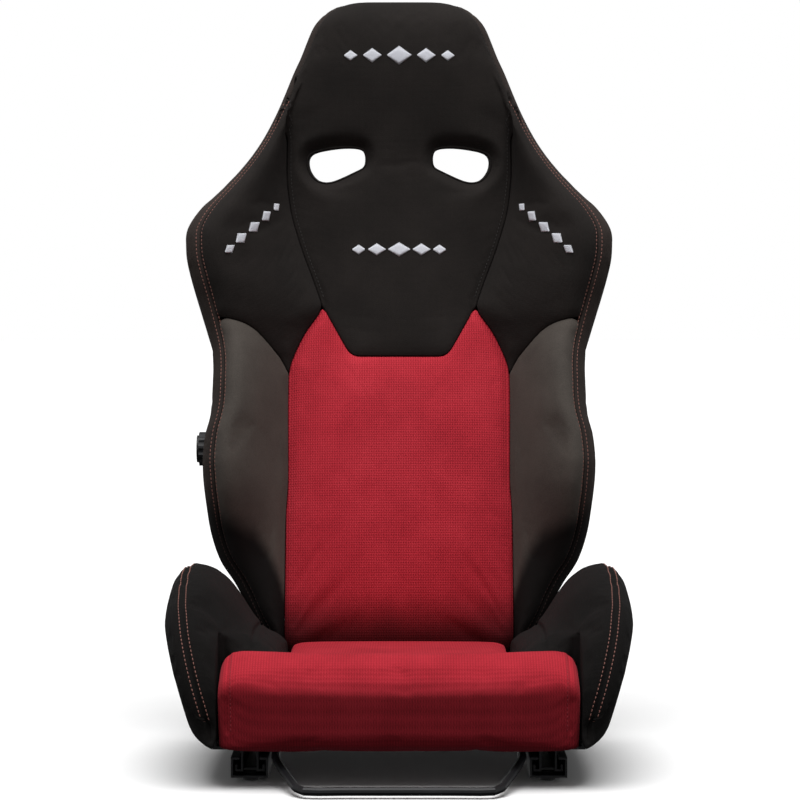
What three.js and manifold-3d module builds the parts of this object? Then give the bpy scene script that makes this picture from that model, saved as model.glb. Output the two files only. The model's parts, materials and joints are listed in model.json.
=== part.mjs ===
// A reclining racing seat on a pair of sliding rails: padded bucket backrest with two harness
// slots, bolstered cushion, disc recliners with a lever, a lumbar adjuster knob, and seat
// sliders released by a towel bar. Millimetres, +Z up, the sitter faces -Y.
// Origin: middle of the footprint, on the plane of the rail bosses.
import * as THREE from "three";
import { mergeVertices } from "three/addons/utils/BufferGeometryUtils.js";
import Module from "manifold-3d";

const wasm = await Module();
wasm.setup();

// ---------- driving dimensions ----------
const GAP = 0.4; // clearance between touching soft pieces
const BACK_TILT = 12; // backrest lean from the vertical, degrees
const PIVOT = [195, 150]; // recliner axis, y and z, before the origin shift
const ORIGIN_SHIFT_Y = -35.5; // puts the footprint's middle on the origin
const RAIL_X = 177; // half the rail spacing
const RAIL_HALF = 190; // half the lower rail's length
const UPPER_HALF = 180; // half the upper rail's length
const BOSS_R = 9, BOSS_H = 6, BOSS_Y = 165, RAIL_HOLE_R = 4.2;
const PLATE_X0 = 216.5, PLATE_X1 = 220.5; // seat side plates
const TUBE_R = 10; // backrest hoop
const UPRIGHT_X = 192.4;
const SHAFT_R = 6; // recliner synchronising shaft
const BAR_R = 5; // towel bar rod
const LATCH_PITCH = 15, LATCH_X = 152.2, LATCH_Z = 35.6; // rack pitch and the latches' hinge
const LUMBAR_V = 232, LUMBAR_W = -15, LUMBAR_SHAFT_R = 4;
const CAM_R0 = 8, CAM_TRAVEL = 12, CAM_TURN = 120; // lumbar cam: 12 mm over 120 degrees
const SLOT_TILT = 14; // harness slots run nearly level through the leaning back
const D2R = Math.PI / 180;

// ---------- curves ----------
// Monotone cubic through the points.
function pchip(pts) {
  const n = pts.length, x = pts.map((p) => p[0]), y = pts.map((p) => p[1]);
  const h = [], d = [], m = [];
  for (let i = 0; i < n - 1; i++) { h.push(x[i + 1] - x[i]); d.push((y[i + 1] - y[i]) / h[i]); }
  m.push(d[0]);
  for (let i = 1; i < n - 1; i++) {
    if (d[i - 1] * d[i] <= 0) m.push(0);
    else { const a = 2 * h[i] + h[i - 1], b = h[i] + 2 * h[i - 1]; m.push((a + b) / (a / d[i - 1] + b / d[i])); }
  }
  m.push(d[n - 2]);
  return (q) => {
    if (q <= x[0]) return y[0];
    if (q >= x[n - 1]) return y[n - 1];
    let i = 0;
    while (q > x[i + 1]) i++;
    const t = (q - x[i]) / h[i], t2 = t * t, t3 = t2 * t;
    return (2 * t3 - 3 * t2 + 1) * y[i] + (t3 - 2 * t2 + t) * h[i] * m[i] + (-2 * t3 + 3 * t2) * y[i + 1] + (t3 - t2) * h[i] * m[i + 1];
  };
}
// Backrest, in its own frame: u across, v up along the back from the recliner axis, w forward.
const backHalf = pchip([[-55, 158], [-46, 163], [-30, 170], [0, 188], [30, 203], [50, 214], [77, 232], [104, 241.5], [135, 248], [167, 254.5], [196, 257], [231, 254], [263, 246], [290, 242], [317, 240.3], [344, 243], [376, 251], [409, 261], [442, 270.5], [474, 277.5], [499, 278.5], [515, 273.5], [526, 267.5], [540, 257.8], [557, 242.4], [573, 229], [607, 203.2], [640, 183.2], [673, 167], [707, 153], [740, 140], [757, 132.5], [782, 123], [800, 116], [812, 108], [825, 96], [834, 84], [840, 72]]);
const backFront = pchip([[-55, 20], [-46, 34], [-30, 46], [0, 55], [50, 63], [100, 69], [150, 73], [200, 75], [250, 73], [300, 68], [350, 62], [400, 57], [450, 53], [500, 50], [550, 49], [600, 50], [650, 54], [700, 60], [750, 65], [790, 64], [812, 57], [826, 47], [835, 36], [840, 25]]);
const backRear = pchip([[-55, -6], [-46, -12], [-30, -18], [0, -25], [50, -31], [100, -32], [560, -32], [600, -30], [650, -27], [700, -25], [750, -24], [790, -21], [812, -14], [826, -5], [835, 5], [840, 14]]);
const wingTop = pchip([[-55, 21], [-46, 36], [-30, 47], [0, 56], [40, 64], [70, 72], [95, 84], [120, 101], [145, 118], [172, 130], [200, 135], [250, 135], [300, 130], [340, 121], [370, 114], [400, 116], [440, 124], [480, 127], [520, 121], [560, 105], [600, 87], [640, 72], [680, 63], [700, 60], [740, 60], [775, 60], [800, 56], [812, 50], [826, 40], [835, 30], [840, 22]]);
const wingTopU = (v) => backHalf(v) - pchip([[-30, 18], [50, 28], [200, 32], [340, 32], [440, 42], [520, 46], [560, 36], [640, 22], [700, 17], [800, 17], [840, 14]])(v);
const seamU = pchip([[-30, 150], [50, 148.6], [128, 146.5], [181, 143], [287, 143.7], [321, 143.5], [354, 133.5], [382, 119.5], [402, 105], [412, 100.8], [430, 106], [503, 131.6], [550, 144], [600, 149], [640, 150], [670, 145.5], [700, 137.5]]);
const seamAt = (v) => (v >= 700 ? wingTopU(v) - 1.2 : Math.min(seamU(v), wingTopU(v) - 1.2));
// Cushion, along y: middle height, bolster foot, bolster crest and widest point.
const cushTop = pchip([[-195, 152], [-150, 151], [-100, 149], [0, 143], [60, 139], [100, 136], [122, 131], [131, 122], [135, 112]]);
const bolFoot = pchip([[-262, 72], [-255, 88], [-240, 112], [-220, 140], [-195, 160], [-150, 162], [-100, 160], [0, 154], [60, 150], [100, 145], [122, 136], [131, 124], [135, 114]]);
const bolTop = pchip([[-262, 118], [-257, 138], [-248, 160], [-235, 180], [-215, 200], [-180, 221], [-120, 238], [-60, 243], [0, 240], [40, 230], [70, 215], [95, 193], [112, 170], [125, 146], [131, 132], [135, 118]]);
const bolWide = pchip([[-262, 248], [-257, 256], [-248, 263], [-235, 269], [-200, 277], [-150, 282], [-60, 285], [0, 284], [60, 279], [95, 272], [115, 264], [128, 254], [135, 244]]);

// ---------- solids ----------
function weld(geometry) {
  const g = geometry.index ? geometry.toNonIndexed() : geometry.clone();
  g.deleteAttribute("normal");
  if (g.getAttribute("uv")) g.deleteAttribute("uv");
  return mergeVertices(g, 1e-3);
}
function solidOf(geometry) {
  const m = weld(geometry);
  return closed(m.attributes.position.array, m.index.array);
}
function closed(vertices, triangles) {
  const vertProperties = new Float32Array(vertices), tri = new Uint32Array(triangles);
  let s = new wasm.Manifold(new wasm.Mesh({ numProp: 3, vertProperties, triVerts: tri }));
  if (s.volume() < 0) {
    for (let i = 0; i < tri.length; i += 3) [tri[i + 1], tri[i + 2]] = [tri[i + 2], tri[i + 1]];
    s = new wasm.Manifold(new wasm.Mesh({ numProp: 3, vertProperties, triVerts: tri }));
  }
  return s;
}
function geometryOf(solid) {
  const m = solid.getMesh(), n = m.numProp, v = new Float32Array(m.numVert * 3);
  for (let i = 0; i < m.numVert; i++) v.set(m.vertProperties.subarray(i * n, i * n + 3), i * 3);
  const g = new THREE.BufferGeometry();
  g.setAttribute("position", new THREE.BufferAttribute(v, 3));
  g.setIndex(new THREE.BufferAttribute(new Uint32Array(m.triVerts), 1));
  g.computeVertexNormals();
  return g;
}
// A closed body through rings of the same number of points; flat() gives each ring's 2-D points.
function loft(rings, flat) {
  const n = rings[0].length, v = [], t = [];
  for (const r of rings) for (const p of r) v.push(...p);
  for (let k = 0; k < rings.length - 1; k++)
    for (let i = 0; i < n; i++) {
      const a = k * n + i, b = k * n + ((i + 1) % n), c = a + n, d = b + n;
      t.push(a, b, d, a, d, c);
    }
  for (const [k, forward] of [[0, false], [rings.length - 1, true]]) {
    const pts = rings[k].map((p) => new THREE.Vector2(...flat(p))), way = Math.sign(THREE.ShapeUtils.area(pts));
    for (const f of THREE.ShapeUtils.triangulateShape(pts, [])) {
      const same = Math.sign(THREE.ShapeUtils.area(f.map((i) => pts[i]))) === way;
      const [a, b, c] = f.map((i) => k * n + i);
      t.push(...(same === forward ? [a, b, c] : [a, c, b]));
    }
  }
  return closed(v, t);
}
const box = (x0, x1, y0, y1, z0, z1) => solidOf(new THREE.BoxGeometry(x1 - x0, y1 - y0, z1 - z0).translate((x0 + x1) / 2, (y0 + y1) / 2, (z0 + z1) / 2));
// Cylinders along X, Y or Z.
const rodX = (r, x0, x1, y, z, n = 24) => solidOf(new THREE.CylinderGeometry(r, r, x1 - x0, n).rotateZ(Math.PI / 2).translate((x0 + x1) / 2, y, z));
const rodY = (r, y0, y1, x, z, n = 24) => solidOf(new THREE.CylinderGeometry(r, r, y1 - y0, n).translate(x, (y0 + y1) / 2, z));
const rodZ = (r, z0, z1, x, y, n = 24) => solidOf(new THREE.CylinderGeometry(r, r, z1 - z0, n).rotateX(Math.PI / 2).translate(x, y, (z0 + z1) / 2));
const shapeOf = (pts) => new THREE.Shape(pts.map((p) => new THREE.Vector2(p[0], p[1])));
// A shape given in (y, z), extruded from x0 to x1.
const slabX = (pts, x0, x1) => solidOf(new THREE.ExtrudeGeometry(shapeOf(pts), { depth: x1 - x0, bevelEnabled: false, curveSegments: 1 }).applyMatrix4(new THREE.Matrix4().set(0, 0, 1, x0, 1, 0, 0, 0, 0, 1, 0, 0, 0, 0, 0, 1)));
// A shape given in (x, z), extruded from y0 to y1.
const slabY = (pts, y0, y1) => solidOf(new THREE.ExtrudeGeometry(shapeOf(pts), { depth: y1 - y0, bevelEnabled: false, curveSegments: 1 }).applyMatrix4(new THREE.Matrix4().set(1, 0, 0, 0, 0, 0, 1, y0, 0, 1, 0, 0, 0, 0, 0, 1)));
// A round tube along points, on a centripetal curve.
function tube(points, r, sides, steps, straight = false) {
  const vs = points.map((p) => new THREE.Vector3(...p));
  let path;
  if (straight) { path = new THREE.CurvePath(); for (let i = 0; i < vs.length - 1; i++) path.add(new THREE.LineCurve3(vs[i], vs[i + 1])); }
  else path = new THREE.CatmullRomCurve3(vs, false, "centripetal");
  const ring = [];
  for (let i = 0; i < sides; i++) ring.push([r * Math.cos((2 * Math.PI * i) / sides), r * Math.sin((2 * Math.PI * i) / sides)]);
  return solidOf(new THREE.ExtrudeGeometry(shapeOf(ring), { steps, extrudePath: path, bevelEnabled: false, curveSegments: 1 }));
}
const arc = (cx, cy, r, a0, a1, n) => Array.from({ length: n + 1 }, (_, i) => { const a = (a0 + ((a1 - a0) * i) / n) * D2R; return [cx + r * Math.cos(a), cy + r * Math.sin(a)]; });
const mirrorX = (s) => s.mirror([1, 0, 0]);
const unite = (...s) => s.reduce((a, b) => a.add(b));

// ---------- materials ----------
const mat = (color, roughness, metalness) => new THREE.MeshStandardMaterial({ color, roughness, metalness });
const M = {
  red: mat("#a32a36", 0.9, 0), black: mat("#231f1e", 0.92, 0), charcoal: mat("#3d3834", 0.88, 0), backing: mat("#1d1b1b", 0.85, 0),
  frame: mat("#1a1a1c", 0.45, 0.6), zinc: mat("#8f9298", 0.38, 0.9), plastic: mat("#17171a", 0.55, 0), web: mat("#101012", 0.95, 0), spring: mat("#6b6e73", 0.35, 0.9),
};
const root = new THREE.Group();
const seat = new THREE.Group(); // everything, in the working frame
seat.position.y = ORIGIN_SHIFT_Y;
root.add(seat);
const back = new THREE.Group(); // backrest frame: x = u, y = -w, z = v
back.position.set(0, PIVOT[0], PIVOT[1]);
back.rotation.x = -BACK_TILT * D2R;
seat.add(back);
function put(name, solid, material, group = seat) {
  const mesh = new THREE.Mesh(geometryOf(solid), material);
  mesh.name = name;
  group.add(mesh);
  return mesh;
}
function both(name, solid, material, group = seat) { // solid is the +X one
  put(name + "_right", solid, material, group);
  put(name + "_left", mirrorX(solid), material, group);
}

// ---------- sliding rails ----------
const lowerSection = [[-22, 6], [22, 6], [22, 30], [12, 30], [12, 27.5], [19.5, 27.5], [19.5, 8.5], [-19.5, 8.5], [-19.5, 27.5], [-12, 27.5], [-12, 30], [-22, 30]].map(([x, z]) => [x + RAIL_X, z]);
let lower = slabY(lowerSection, -RAIL_HALF, RAIL_HALF);
for (const y of [-BOSS_Y, BOSS_Y]) lower = lower.add(rodZ(BOSS_R, 0, BOSS_H + 1, RAIL_X, y, 20));
for (const y of [-BOSS_Y, BOSS_Y]) lower = lower.subtract(rodZ(RAIL_HOLE_R, -1, 12, RAIL_X, y, 16));
// latch rack: a row of windows in the inner wall
for (let k = -7; k <= 7; k++) lower = lower.subtract(box(RAIL_X - 23, RAIL_X - 19, k * LATCH_PITCH - 5, k * LATCH_PITCH + 5, 12.5, 20.5));
both("lower_rail", lower, M.frame);
const upperSection = [[-17.5, 12], [-8, 12], [-8, 36], [8, 36], [8, 12], [17.5, 12], [17.5, 20], [15, 20], [15, 14.5], [10.5, 14.5], [10.5, 38.5], [-10.5, 38.5], [-10.5, 14.5], [-15, 14.5], [-15, 20], [-17.5, 20]].map(([x, z]) => [x + RAIL_X, z]);
let upper = slabY(upperSection, -UPPER_HALF, UPPER_HALF);
for (const y of [-120, 120]) upper = upper.subtract(rodZ(4.4, 34, 40, RAIL_X, y, 16));
both("upper_rail", upper, M.frame);
// nylon glide under each upper rail
both("rail_glide", box(RAIL_X - 15, RAIL_X + 15, -150, 150, 8.9, 11.6), M.plastic);

// ---------- seat frame ----------
const [PY, PZ] = PIVOT;
const plateOutline = (g = 0) => [[-186 - g, 39 - g], [206 + g, 39 - g], [226 + g, 92], ...arc(PY, PZ, 40 + g, -22, 172, 10), [124 - g, 104 + g], [62, 82 + g], [-10, 78 + g], [-180 - g, 72 + g]];
const sidePlate = () => {
  let s = slabX(plateOutline(), PLATE_X0, PLATE_X1);
  s = s.add(box(162, PLATE_X0 + 1, -186, 186, 39, 42.5)).add(box(130, 163, -72, -28, 39, 42.5)).add(box(146, 163, -30, 46, 39, 42.5));
  for (const y of [-36.6, 36.6]) s = s.add(box(148.4, 156, y - 2, y + 2, 31.4, 40));
  s = s.subtract(rodY(3, -42, 42, LATCH_X, LATCH_Z, 12));
  for (const y of [-120, 120]) s = s.subtract(rodZ(4.4, 38, 44, RAIL_X, y, 16));
  for (const y of [-130, -70, -10]) s = s.subtract(rodX(9, 210, 225, y, 60, 10)); // lightening holes
  return s.subtract(rodX(SHAFT_R + 0.5, 200, 240, PY, PZ, 12));
};
both("side_plate", sidePlate(), M.frame);
for (const [side, sx] of [["right", 1], ["left", -1]])
  for (const [end, y] of [["front", -120], ["rear", 120]])
    put(`rail_bolt_${end}_${side}`, rodZ(4, 28, 43.5, sx * RAIL_X, y, 12).add(rodZ(6.5, 42.9, 48.4, sx * RAIL_X, y, 6)), M.zinc);
put("cross_tube_front", rodX(8, -216.1, 216.1, -150, 54, 16), M.frame);
put("cross_tube_rear", rodX(8, -216.1, 216.1, 92, 54, 16), M.frame);
let pan = box(-212, 212, -190, 118, 62.4, 64.6);
for (const y of [-110, -30, 50]) for (const x of [-105, 0, 105]) pan = pan.subtract(rodZ(16, 60, 68, x, y, 10));
put("seat_pan", pan, M.frame);

// ---------- recliners ----------
const toothed = (r, teeth, depth, cy, cz) => Array.from({ length: teeth * 2 }, (_, i) => { const a = (i * Math.PI) / teeth; const q = i % 2 ? r - depth : r; return [cy + q * Math.cos(a), cz + q * Math.sin(a)]; });
both("recliner_disc", slabX(arc(PY, PZ, 34, 0, 345, 23), 213.6, 216.2).subtract(rodX(SHAFT_R + 0.5, 205, 225, PY, PZ, 12)), M.frame);
const armOutline = (g = 0) => [...arc(0, 0, 32 + g, 180, 360, 12).map(([w, v]) => [w, v]), [20 + g, 60], [11 + g, 118 + g], [-11 - g, 118 + g], [-24 - g, 60]];
const arm = (g = 0) => slabX(armOutline(g), 202.9 - g, 207 + g);
both("recliner_arm", arm().subtract(rodX(SHAFT_R + 0.5, 195, 215, 0, 0, 12)), M.frame, back);
both("recliner_ratchet", slabX(toothed(36, 24, 2.2, 0, 0), 207.4, 213.2).subtract(rodX(SHAFT_R + 0.5, 195, 225, 0, 0, 12)), M.frame, back);
// plastic recliner covers, open towards the plate
const coverOutline = (g) => [[146 + g, 60 + g], [214 - g, 60 + g], [232 - g, 96], ...arc(PY, PZ, 48 - g, -18, 150, 12), [146 + g, 158]];
const cover = (hole) => {
  let s = slabX(coverOutline(0), 221.2, 243).subtract(slabX(coverOutline(2.5), 220, 240.4));
  if (hole) s = s.subtract(rodX(SHAFT_R + 1, 235, 250, PY, PZ, 12));
  return s;
};
put("recliner_cover_right", cover(false), M.plastic);
put("recliner_cover_left", mirrorX(cover(true)), M.plastic);
// flat spiral springs that bring the backrest forward
const spiral = () => {
  const inner = [], outer = [], turns = 2.6, n = 30;
  for (let i = 0; i <= n; i++) { const a = (i / n) * turns * 2 * Math.PI, r = 9 + 17 * (i / n); inner.push([PY + r * Math.cos(a), PZ + r * Math.sin(a)]); outer.push([PY + (r + 2) * Math.cos(a), PZ + (r + 2) * Math.sin(a)]); }
  return slabX([...inner, ...outer.reverse()], 222.4, 229);
};
both("return_spring", spiral(), M.spring);
// lever, shaft
put("sync_shaft", rodX(SHAFT_R, -255, 231, PY, PZ, 16), M.zinc);
const leverTurn = (pts) => pts.map(([y, z]) => { const a = 14 * D2R; return [PY + y * Math.cos(a) - z * Math.sin(a), PZ + y * Math.sin(a) + z * Math.cos(a)]; });
const leverArm = slabX(leverTurn([...arc(0, 0, 15, 35, 325, 12), [40, -7], [60, -6], [60, 6], [40, 7]]), -250.5, -245.5).subtract(rodX(SHAFT_R + 0.3, -260, -240, PY, PZ, 16));
put("recline_lever", leverArm, M.frame);
const gripPts = (o) => leverTurn([[48 - o, -9 - o], [92, -12 - o], [101 + o, -6], [102 + o, 4], [94, 11 + o], [48 - o, 10 + o]]);
let grip = loft([[0, 0.0], [2, 1.6], [5, 2.4], [10, 2.4], [13, 1.6], [15, 0]].map(([d, o]) => gripPts(o - 1).map(([y, z]) => [-259 + d, y, z])), (p) => [p[1], p[2]]);
grip = grip.subtract(slabX(leverTurn([[38, -7.7], [60.6, -6.6], [60.6, 6.6], [38, 7.7]]), -251, -245));
put("lever_grip", grip, M.plastic);
put("lever_nut", rodX(9, -259.5, -255.3, PY, PZ, 6), M.zinc);

// ---------- towel bar and latches ----------
const barHalf = [[146, -45.5, 30], [146, -120, 30], [146, -180, 28.5], [140, -215, 24.5], [131, -248, 18.5], [120, -282, 11.5], [115, -296, 9], [106, -302, 8.5], [60, -302, 8.5]];
const barPath = [...barHalf.map(([x, y, z]) => [-x, y, z]), [0, -302, 8.5], ...barHalf.slice().reverse()];
let bar = tube(barPath, BAR_R, 10, 48);
bar = bar.add(rodX(4, 129.5, 148, -52, 30, 14)).add(rodX(4, -148, -129.5, -52, 30, 14)); // pivots
put("towel_bar", bar, M.frame);
both("bar_bracket", box(132, 138, -62, -42, 22, 38.6).subtract(rodX(4.4, 130, 142, -52, 30, 14)), M.frame);
let latch = box(151.4, 153.8, -32, 32, 10, 35).add(rodY(2.6, -38, 38, LATCH_X, LATCH_Z, 12));
for (const k of [-1, 0, 1]) latch = latch.add(box(153.6, 157, k * LATCH_PITCH - 4, k * LATCH_PITCH + 4, 14, 19)); // teeth in the rack's windows
both("rail_latch", latch, M.zinc);

// ---------- cushion ----------
const cushRing = (y) => {
  const zc = cushTop(y), b = bolFoot(y), t = bolTop(y), H = t - b, W = bolWide(y), s = W - 284;
  const half = [[0, zc], [70, zc], [132, zc - 1], [140, zc - 3], [150, zc + 1], [172, b], [184, b + 0.18 * H], [191 + s * 0.2, b + 0.3 * H], [203 + s * 0.3, b + 0.56 * H], [213 + s * 0.4, b + 0.76 * H], [228 + s * 0.6, b + 0.94 * H], [246 + s * 0.8, t], [263 + s, b + 0.95 * H], [277 + s, b + 0.76 * H], [W, b + 0.46 * H], [W - 5, b + 0.18 * H], [W - 23, Math.min(92, b + 0.18 * H - 8)], [244 + s * 0.6, 60], [237.5 + s * 0.5, 47], [229 + s * 0.4, 44.5], [204, 44.5], [200, 48], [197, 65.4], [0, 65.4]];
  const ring = half.map(([x, z]) => [x, y, z]);
  for (let i = half.length - 2; i > 0; i--) ring.push([-half[i][0], y, half[i][1]]);
  return ring;
};
const cushYs = [-262, -255, -240, -215, -180, -120, -50, 20, 70, 105, 125, 135];
let cushion = loft(cushYs.map(cushRing), (p) => [p[0], p[2]]);
// front roll
const ROLL = { x: 212, y0: -268, y1: -197.4, z0: 46, z1: 161.5, r: 28, nose: 54, foot: 14, rake: 15 };
const rollRing = (x, g = 0) => {
  const e = Math.abs(x) <= ROLL.x - ROLL.r ? 0 : ROLL.r * (1 - Math.sqrt(Math.max(0, 1 - ((Math.abs(x) - (ROLL.x - ROLL.r)) / ROLL.r) ** 2)));
  const y0 = ROLL.y0 + e * 0.45 - g, y1 = ROLL.y1 + g, z0 = ROLL.z0 + e * 0.12 - g, z1 = ROLL.z1 - e * 0.95 + g;
  const n = ROLL.nose - e * 0.5;
  const pts = [...arc(y0 + n, z1 - n, n, 180, 90, 9), ...arc(y1 - 8, z1 - 8, 8, 90, 0, 2), ...arc(y1 - 6, z0 + 6, 6, 0, -90, 1), ...arc(y0 + ROLL.rake + ROLL.foot, z0 + ROLL.foot, ROLL.foot, -90, -180, 3)];
  return pts.map(([y, z]) => [x, y, z]);
};
const rollXs = [-212, -210.5, -206, -198, -184, 0, 184, 198, 206, 210.5, 212];
const roll = loft(rollXs.map((x) => rollRing(x)), (p) => [p[1], p[2]]);
const rollRoom = loft(rollXs.map((x) => rollRing(x, GAP).map(([a, b, c]) => [a * (1 + 0.6 / 212), b, c])), (p) => [p[1], p[2]]);
put("cushion_front_roll", roll, M.red);
const plateRoom = slabX(plateOutline(0.5), PLATE_X0 - 0.5, PLATE_X1 + 0.5).add(box(160, PLATE_X0 + 1, -190, 190, 38, 43));
const tubeRoom = rodX(8.5, -230, 230, 92, 54, 16).add(rodX(8.5, -230, 230, -150, 54, 16));
cushion = cushion.subtract(rollRoom).subtract(box(-212.6, 212.6, -280, -197.0, 40, 200));
cushion = cushion.subtract(plateRoom).subtract(mirrorX(plateRoom)).subtract(tubeRoom).subtract(box(-212.6, 212.6, -191, 119, 30, 65.2));
const insertRoom = box(-140, 140, -300, 160, 30, 260);
put("cushion_insert", cushion.intersect(box(-139.8, 139.8, -300, 160, 30, 260)), M.red);
const sides = cushion.subtract(box(-140.2, 140.2, -300, 160, 30, 260));
put("cushion_bolster_right", biggest(sides.intersect(box(140, 300, -300, 160, 30, 260))), M.black);
put("cushion_bolster_left", biggest(sides.intersect(box(-300, -140, -300, 160, 30, 260))), M.black);
function biggest(s) {
  return s.decompose().sort((a, b) => b.volume() - a.volume())[0];
}

// ---------- backrest ----------
const P3 = (u, w, v) => [u, -w, v]; // into the backrest group's frame
const backHalfRing = (v, rearOff) => {
  const U = backHalf(v), c = backFront(v), k = wingTop(v), uk = wingTopU(v), us = seamAt(v), r = backRear(v) + rearOff;
  const half = [[0, c], [us * 0.5, c - 0.6], [us * 0.88, c - 2.4], [us, c - 4.5]];
  const c2 = c - 4.5;
  for (const t of [0.25, 0.5, 0.75, 1]) half.push([us + (uk - us) * t, c2 + (k - c2) * (t * t * (3 - 2 * t) * 0.55 + t * 0.45)]);
  const d = Math.min(42, (k - r) * 0.42);
  for (const a of [25, 50, 72, 90]) half.push([uk + (U - uk) * Math.sin(a * D2R), k - d * (1 - Math.cos(a * D2R))]);
  const q = Math.min(34, (k - d - r) * 0.9);
  for (const a of [12, 35, 62, 90]) half.push([U - 34 + 30 * Math.cos(a * D2R), r + q - q * Math.sin(a * D2R)]);
  half.push([(U - 34) * 0.5, r], [0, r]);
  return half;
};
const fullRing = (half, v) => {
  const ring = half.map(([u, w]) => P3(u, w, v));
  for (let i = half.length - 2; i > 0; i--) ring.push(P3(-half[i][0], half[i][1], v));
  return ring;
};
const backVs = [-55, -46, -30, 0, 40, 90, 150, 205, 260, 321, 360, 412, 465, 499, 520, 545, 580, 620, 665, 705, 760, 800, 825, 840];
let foam = loft(backVs.map((v) => fullRing(backHalfRing(v, 6), v)), (p) => [p[0], p[1]]);
// back cover: a thin shell round the rear
const shellRing = (v, cut = 0) => { // cut: the room it takes out of the foam
  const U = backHalf(v), r = backRear(v), k = wingTop(v), rf = r + 6, d = Math.min(42, (k - rf) * 0.42), q = Math.min(34, (k - d - rf) * 0.9);
  const outer = [], inner = [], cw = rf + q;
  for (const a of [32, 50, 70, 90]) {
    const b = a - (cut && a === 32 ? 3 : 0);
    outer.push([U - 34 + (34 + cut) * Math.cos(b * D2R), cw - (q + 6 + cut) * Math.sin(b * D2R)]);
    inner.push([U - 34 + (30.6 - cut) * Math.cos(b * D2R), cw - (q + 0.6 - cut) * Math.sin(b * D2R)]);
  }
  outer.push([(U - 34) * 0.5, r - cut], [0, r - cut]);
  inner.push([(U - 34) * 0.5, r + 5.4 + cut], [0, r + 5.4 + cut]);
  const right = outer, ring = [];
  for (const [u, w] of right) ring.push(P3(u, w, v));
  for (let i = right.length - 2; i >= 0; i--) ring.push(P3(-right[i][0], right[i][1], v));
  for (let i = 0; i < inner.length; i++) ring.push(P3(-inner[i][0], inner[i][1], v));
  for (let i = inner.length - 2; i >= 0; i--) ring.push(P3(inner[i][0], inner[i][1], v));
  return ring;
};
const shellVs = [-8, 60, 150, 231, 320, 412, 499, 525, 560, 620, 705, 806];
let shell = loft(shellVs.map((v) => shellRing(v)), (p) => [p[0], p[1]]);
const shellRoom = loft(shellVs.map((v, i) => shellRing(v, 0.9).map(([x, y, z]) => [x, y, z + (i === 0 ? -0.6 : i === shellVs.length - 1 ? 0.6 : 0)])), (p) => [p[0], p[1]]);

// harness slots: one outline, seen from the front, on the right-hand side
const slotOutline = [[45.5, 611], [45.5, 627], [49, 630.5], [62, 631.5], [80, 631], [100, 628], [114, 625], [120.5, 620], [121.5, 610], [118.5, 598], [112, 588.5], [104, 584], [94, 584], [84, 587], [70, 593.5], [55, 602.5]];
const slotOffset = (o) => { // towards the outline's middle
  const cx = 84, cy = 608;
  return slotOutline.map(([u, v]) => { const L = Math.hypot(u - cx, v - cy); return [u - (o * (u - cx)) / L, v - (o * (v - cy)) / L]; });
};
const slotPrism = (o, w0, w1) => {
  const g = new THREE.ExtrudeGeometry(shapeOf(slotOffset(o)), { depth: w1 - w0, bevelEnabled: false, curveSegments: 1 });
  const k = Math.tan(SLOT_TILT * D2R);
  // (x, y, depth) -> u, -(w0 + depth), v sheared so that the tunnel runs nearly level
  return solidOf(g.applyMatrix4(new THREE.Matrix4().set(1, 0, 0, 0, 0, 0, -1, -w0, 0, 1, -k, -k * (w0 - 40), 0, 0, 0, 1)));
};
const slotRoom = slotPrism(-0.4, -60, 120);
for (const s of [slotRoom, mirrorX(slotRoom)]) { foam = foam.subtract(s); shell = shell.subtract(s); }
both("harness_slot_liner", slotPrism(0, -24, 38).subtract(slotPrism(2.6, -30, 45)), M.plastic, back);

// frame hoop and what it carries
const hoopHalf = [[UPRIGHT_X, -14], [UPRIGHT_X, 120], [UPRIGHT_X, 300], [UPRIGHT_X, 430], [189, 490], [181, 545], [168, 592], [151, 640], [133, 685], [117, 727], [103, 762], [92, 782], [74, 797], [45, 803]];
const hoopPath = [...hoopHalf.map(([u, v]) => P3(-u, 0, v)), P3(0, 0, 804), ...hoopHalf.slice().reverse().map(([u, v]) => P3(u, 0, v))];
put("backrest_hoop", tube(hoopPath, TUBE_R, 8, 30).subtract(rodX(SHAFT_R + 0.5, -210, 210, 0, 0, 16)), M.frame, back);
put("backrest_lower_tube", rodX(8, -180.6, 180.6, 0, 52, 16), M.frame, back);
put("backrest_upper_tube", rodX(8, -172, 172, 0, 520, 16), M.frame, back);
const hoopRoom = tube(hoopPath, TUBE_R + 0.8, 8, 30);
// webbing that carries the back pad
const strapV = [105, 330, 395, 460];
strapV.forEach((v, i) => put(`back_web_${i + 1}`, slabX([[-12.6, v - 22], [-10.6, v - 22], [-10.6, v + 22], [-12.6, v + 22]], -198, 198), M.web, back));
let webRoom = null;
for (const v of strapV) { const b = box(-199, 199, -13.4, -9, v - 23, v + 23); webRoom = webRoom ? webRoom.add(b) : b; }
// lumbar adjuster
const camRing = [];
for (let i = 0; i <= 8; i++) { const a = (i / 8) * CAM_TURN * D2R; camRing.push([a, CAM_R0 + CAM_TRAVEL * (i / 8)]); }
for (const a of [CAM_TURN + 14, CAM_TURN + 30]) camRing.push([a * D2R, CAM_R0 + CAM_TRAVEL * (a === CAM_TURN + 14 ? 0.5 : 0.12)]);
for (const a of [175, 220, 265, 310]) camRing.push([a * D2R, CAM_R0]);
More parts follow.
